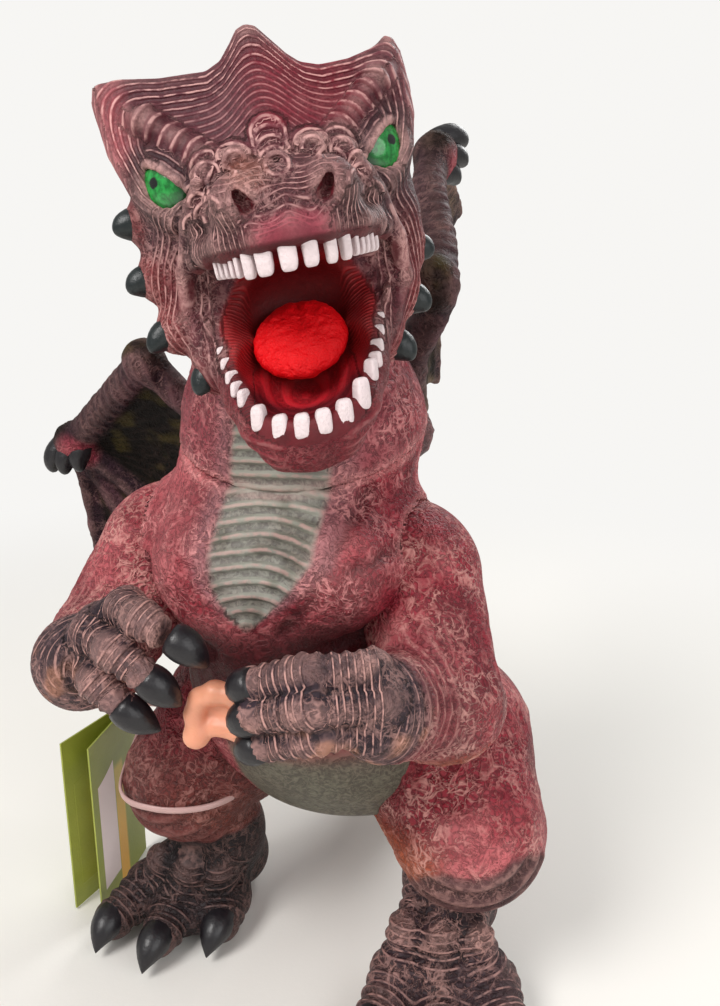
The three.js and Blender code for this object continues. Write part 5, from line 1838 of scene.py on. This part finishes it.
# Sound unit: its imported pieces, with finishes of their own
def finish_sound_unit():
    plastic = plain_material("case_plastic", paint(216, 216, 210), 0.5, 1.2, 0.1, 0.1)
    board = plain_material("board_green", paint(44, 107, 60), 0.45, 2.0, 0.3, 0.1)
    paper = plain_material("speaker_paper", paint(32, 32, 34), 0.75, 0.8, 0.3, 0.2)
    steel = plain_material("steel", paint(184, 186, 189), 0.28, 1.0, 0.12, 0.05, Metallic=1.0)
    homes = {"sound_case": plastic, "sound_cover": plastic, "press_button": plastic, "circuit_board": board,
             "speaker": paper, "cover_screw_1": steel, "cover_screw_2": steel,
             "cell_1": steel, "cell_2": steel, "cell_3": steel}
    for node, material in homes.items():
        refinish(node, material)


# Camera, floor and light
CAMERA_AT = (118.0, -335.0, 304.0)
CAMERA_AZIMUTH, CAMERA_PITCH = math.radians(18), math.radians(15)
CAMERA_FOCAL, FRAME_HEIGHT = 871.0, 1006  # in pixels of the photograph
SENSOR = 36


def aim_camera():
    ahead = Vector((-math.sin(CAMERA_AZIMUTH), math.cos(CAMERA_AZIMUTH), 0))
    forward = ahead * math.cos(CAMERA_PITCH) - Vector((0, 0, math.sin(CAMERA_PITCH)))
    right = Vector((math.cos(CAMERA_AZIMUTH), math.sin(CAMERA_AZIMUTH), 0))
    up = right.cross(forward)
    data = bpy.data.cameras.new("camera")
    data.sensor_fit = "VERTICAL"
    data.sensor_height = SENSOR
    data.lens = SENSOR * CAMERA_FOCAL / FRAME_HEIGHT
    data.clip_start = 0.01
    camera = bpy.data.objects.new("camera", data)
    place = Matrix((right, up, -forward)).transposed().to_4x4()
    place.translation = Vector(in_metres(CAMERA_AT))
    camera.matrix_world = place
    bpy.context.scene.collection.objects.link(camera)
    bpy.context.scene.camera = camera


BACKDROP = (0.93, 0.92, 0.9, 1)


def backdrop_share(tree):
    """1 for rays from the camera, also through clear pieces, and 0 for light that falls on the object."""
    path = tree.nodes.new("ShaderNodeLightPath")
    first = tree.nodes.new("ShaderNodeMath")
    first.operation = "MAXIMUM"
    tree.links.new(path.outputs["Is Camera Ray"], first.inputs[0])
    tree.links.new(path.outputs["Is Transmission Ray"], first.inputs[1])
    return first.outputs[0]


def make_floor():
    """Pale paper that takes the shadows near the figure and fades into the backdrop further off."""
    bpy.ops.mesh.primitive_plane_add(size=16, location=(0, 0, 0))
    floor = bpy.context.object
    floor.name = "floor"
    n = Nodes("floor_paper")
    tone = n.mix(n.noise(400, 3), paint(240, 238, 233), paint(234, 232, 227))
    n.bump(n.noise(2, 3), 0.05)
    n.finish(tone, 0.8)
    reach = n.node("ShaderNodeVectorMath", operation="LENGTH")
    n.put(reach.inputs[0], n.where)
    far = n.math("MULTIPLY", n.between(reach.outputs["Value"], 0.16, 0.8), backdrop_share(n.tree))
    glow = n.node("ShaderNodeEmission")
    glow.inputs["Color"].default_value = BACKDROP
    blend = n.node("ShaderNodeMixShader")
    for socket, source in zip(blend.inputs, (far, n.shader.outputs[0], glow.outputs[0])):
        n.put(socket, source)
    n.put(n.tree.nodes["Material Output"].inputs["Surface"], blend.outputs[0])
    floor.data.materials.append(n.material)


def make_world():
    world = bpy.data.worlds.new("studio")
    world.use_nodes = True
    tree = world.node_tree
    ground = tree.nodes["Background"]
    ground.inputs["Color"].default_value = BACKDROP
    strength = tree.nodes.new("ShaderNodeMapRange")
    tree.links.new(backdrop_share(tree), strength.inputs["Value"])
    strength.inputs["To Min"].default_value = 0.5
    strength.inputs["To Max"].default_value = 1.0
    tree.links.new(strength.outputs["Result"], ground.inputs["Strength"])
    bpy.context.scene.world = world


def make_lamp(name, place, target, size, power, colour=(1, 1, 1)):
    data = bpy.data.lights.new(name, "AREA")
    data.shape = "DISK"
    data.size, data.energy, data.color = size, power, colour
    lamp = bpy.data.objects.new(name, data)
    lamp.location = place
    lamp.rotation_euler = (Vector(target) - Vector(place)).to_track_quat("-Z", "Y").to_euler()
    bpy.context.scene.collection.objects.link(lamp)


make_head()
make_torso()
for side in BOTH_SIDES:
    make_arm(side)
    make_leg(side)
    make_wing(side)
make_thumb()
make_tail()
make_fillings()
refinish("hang_tag", tag_material())
make_loop()
finish_sound_unit()
aim_camera()
make_floor()
make_world()
make_lamp("key", (-0.35, -0.95, 1.05), (0, -0.05, 0.2), size=0.6, power=13, colour=(1, 0.98, 0.96))
make_lamp("fill", (0.95, -0.65, 0.6), (0, 0, 0.2), size=0.9, power=5)
make_lamp("rim", (0.3, 0.9, 0.9), (0, 0, 0.25), size=0.6, power=6)
bpy.context.scene.view_settings.view_transform = "Standard"
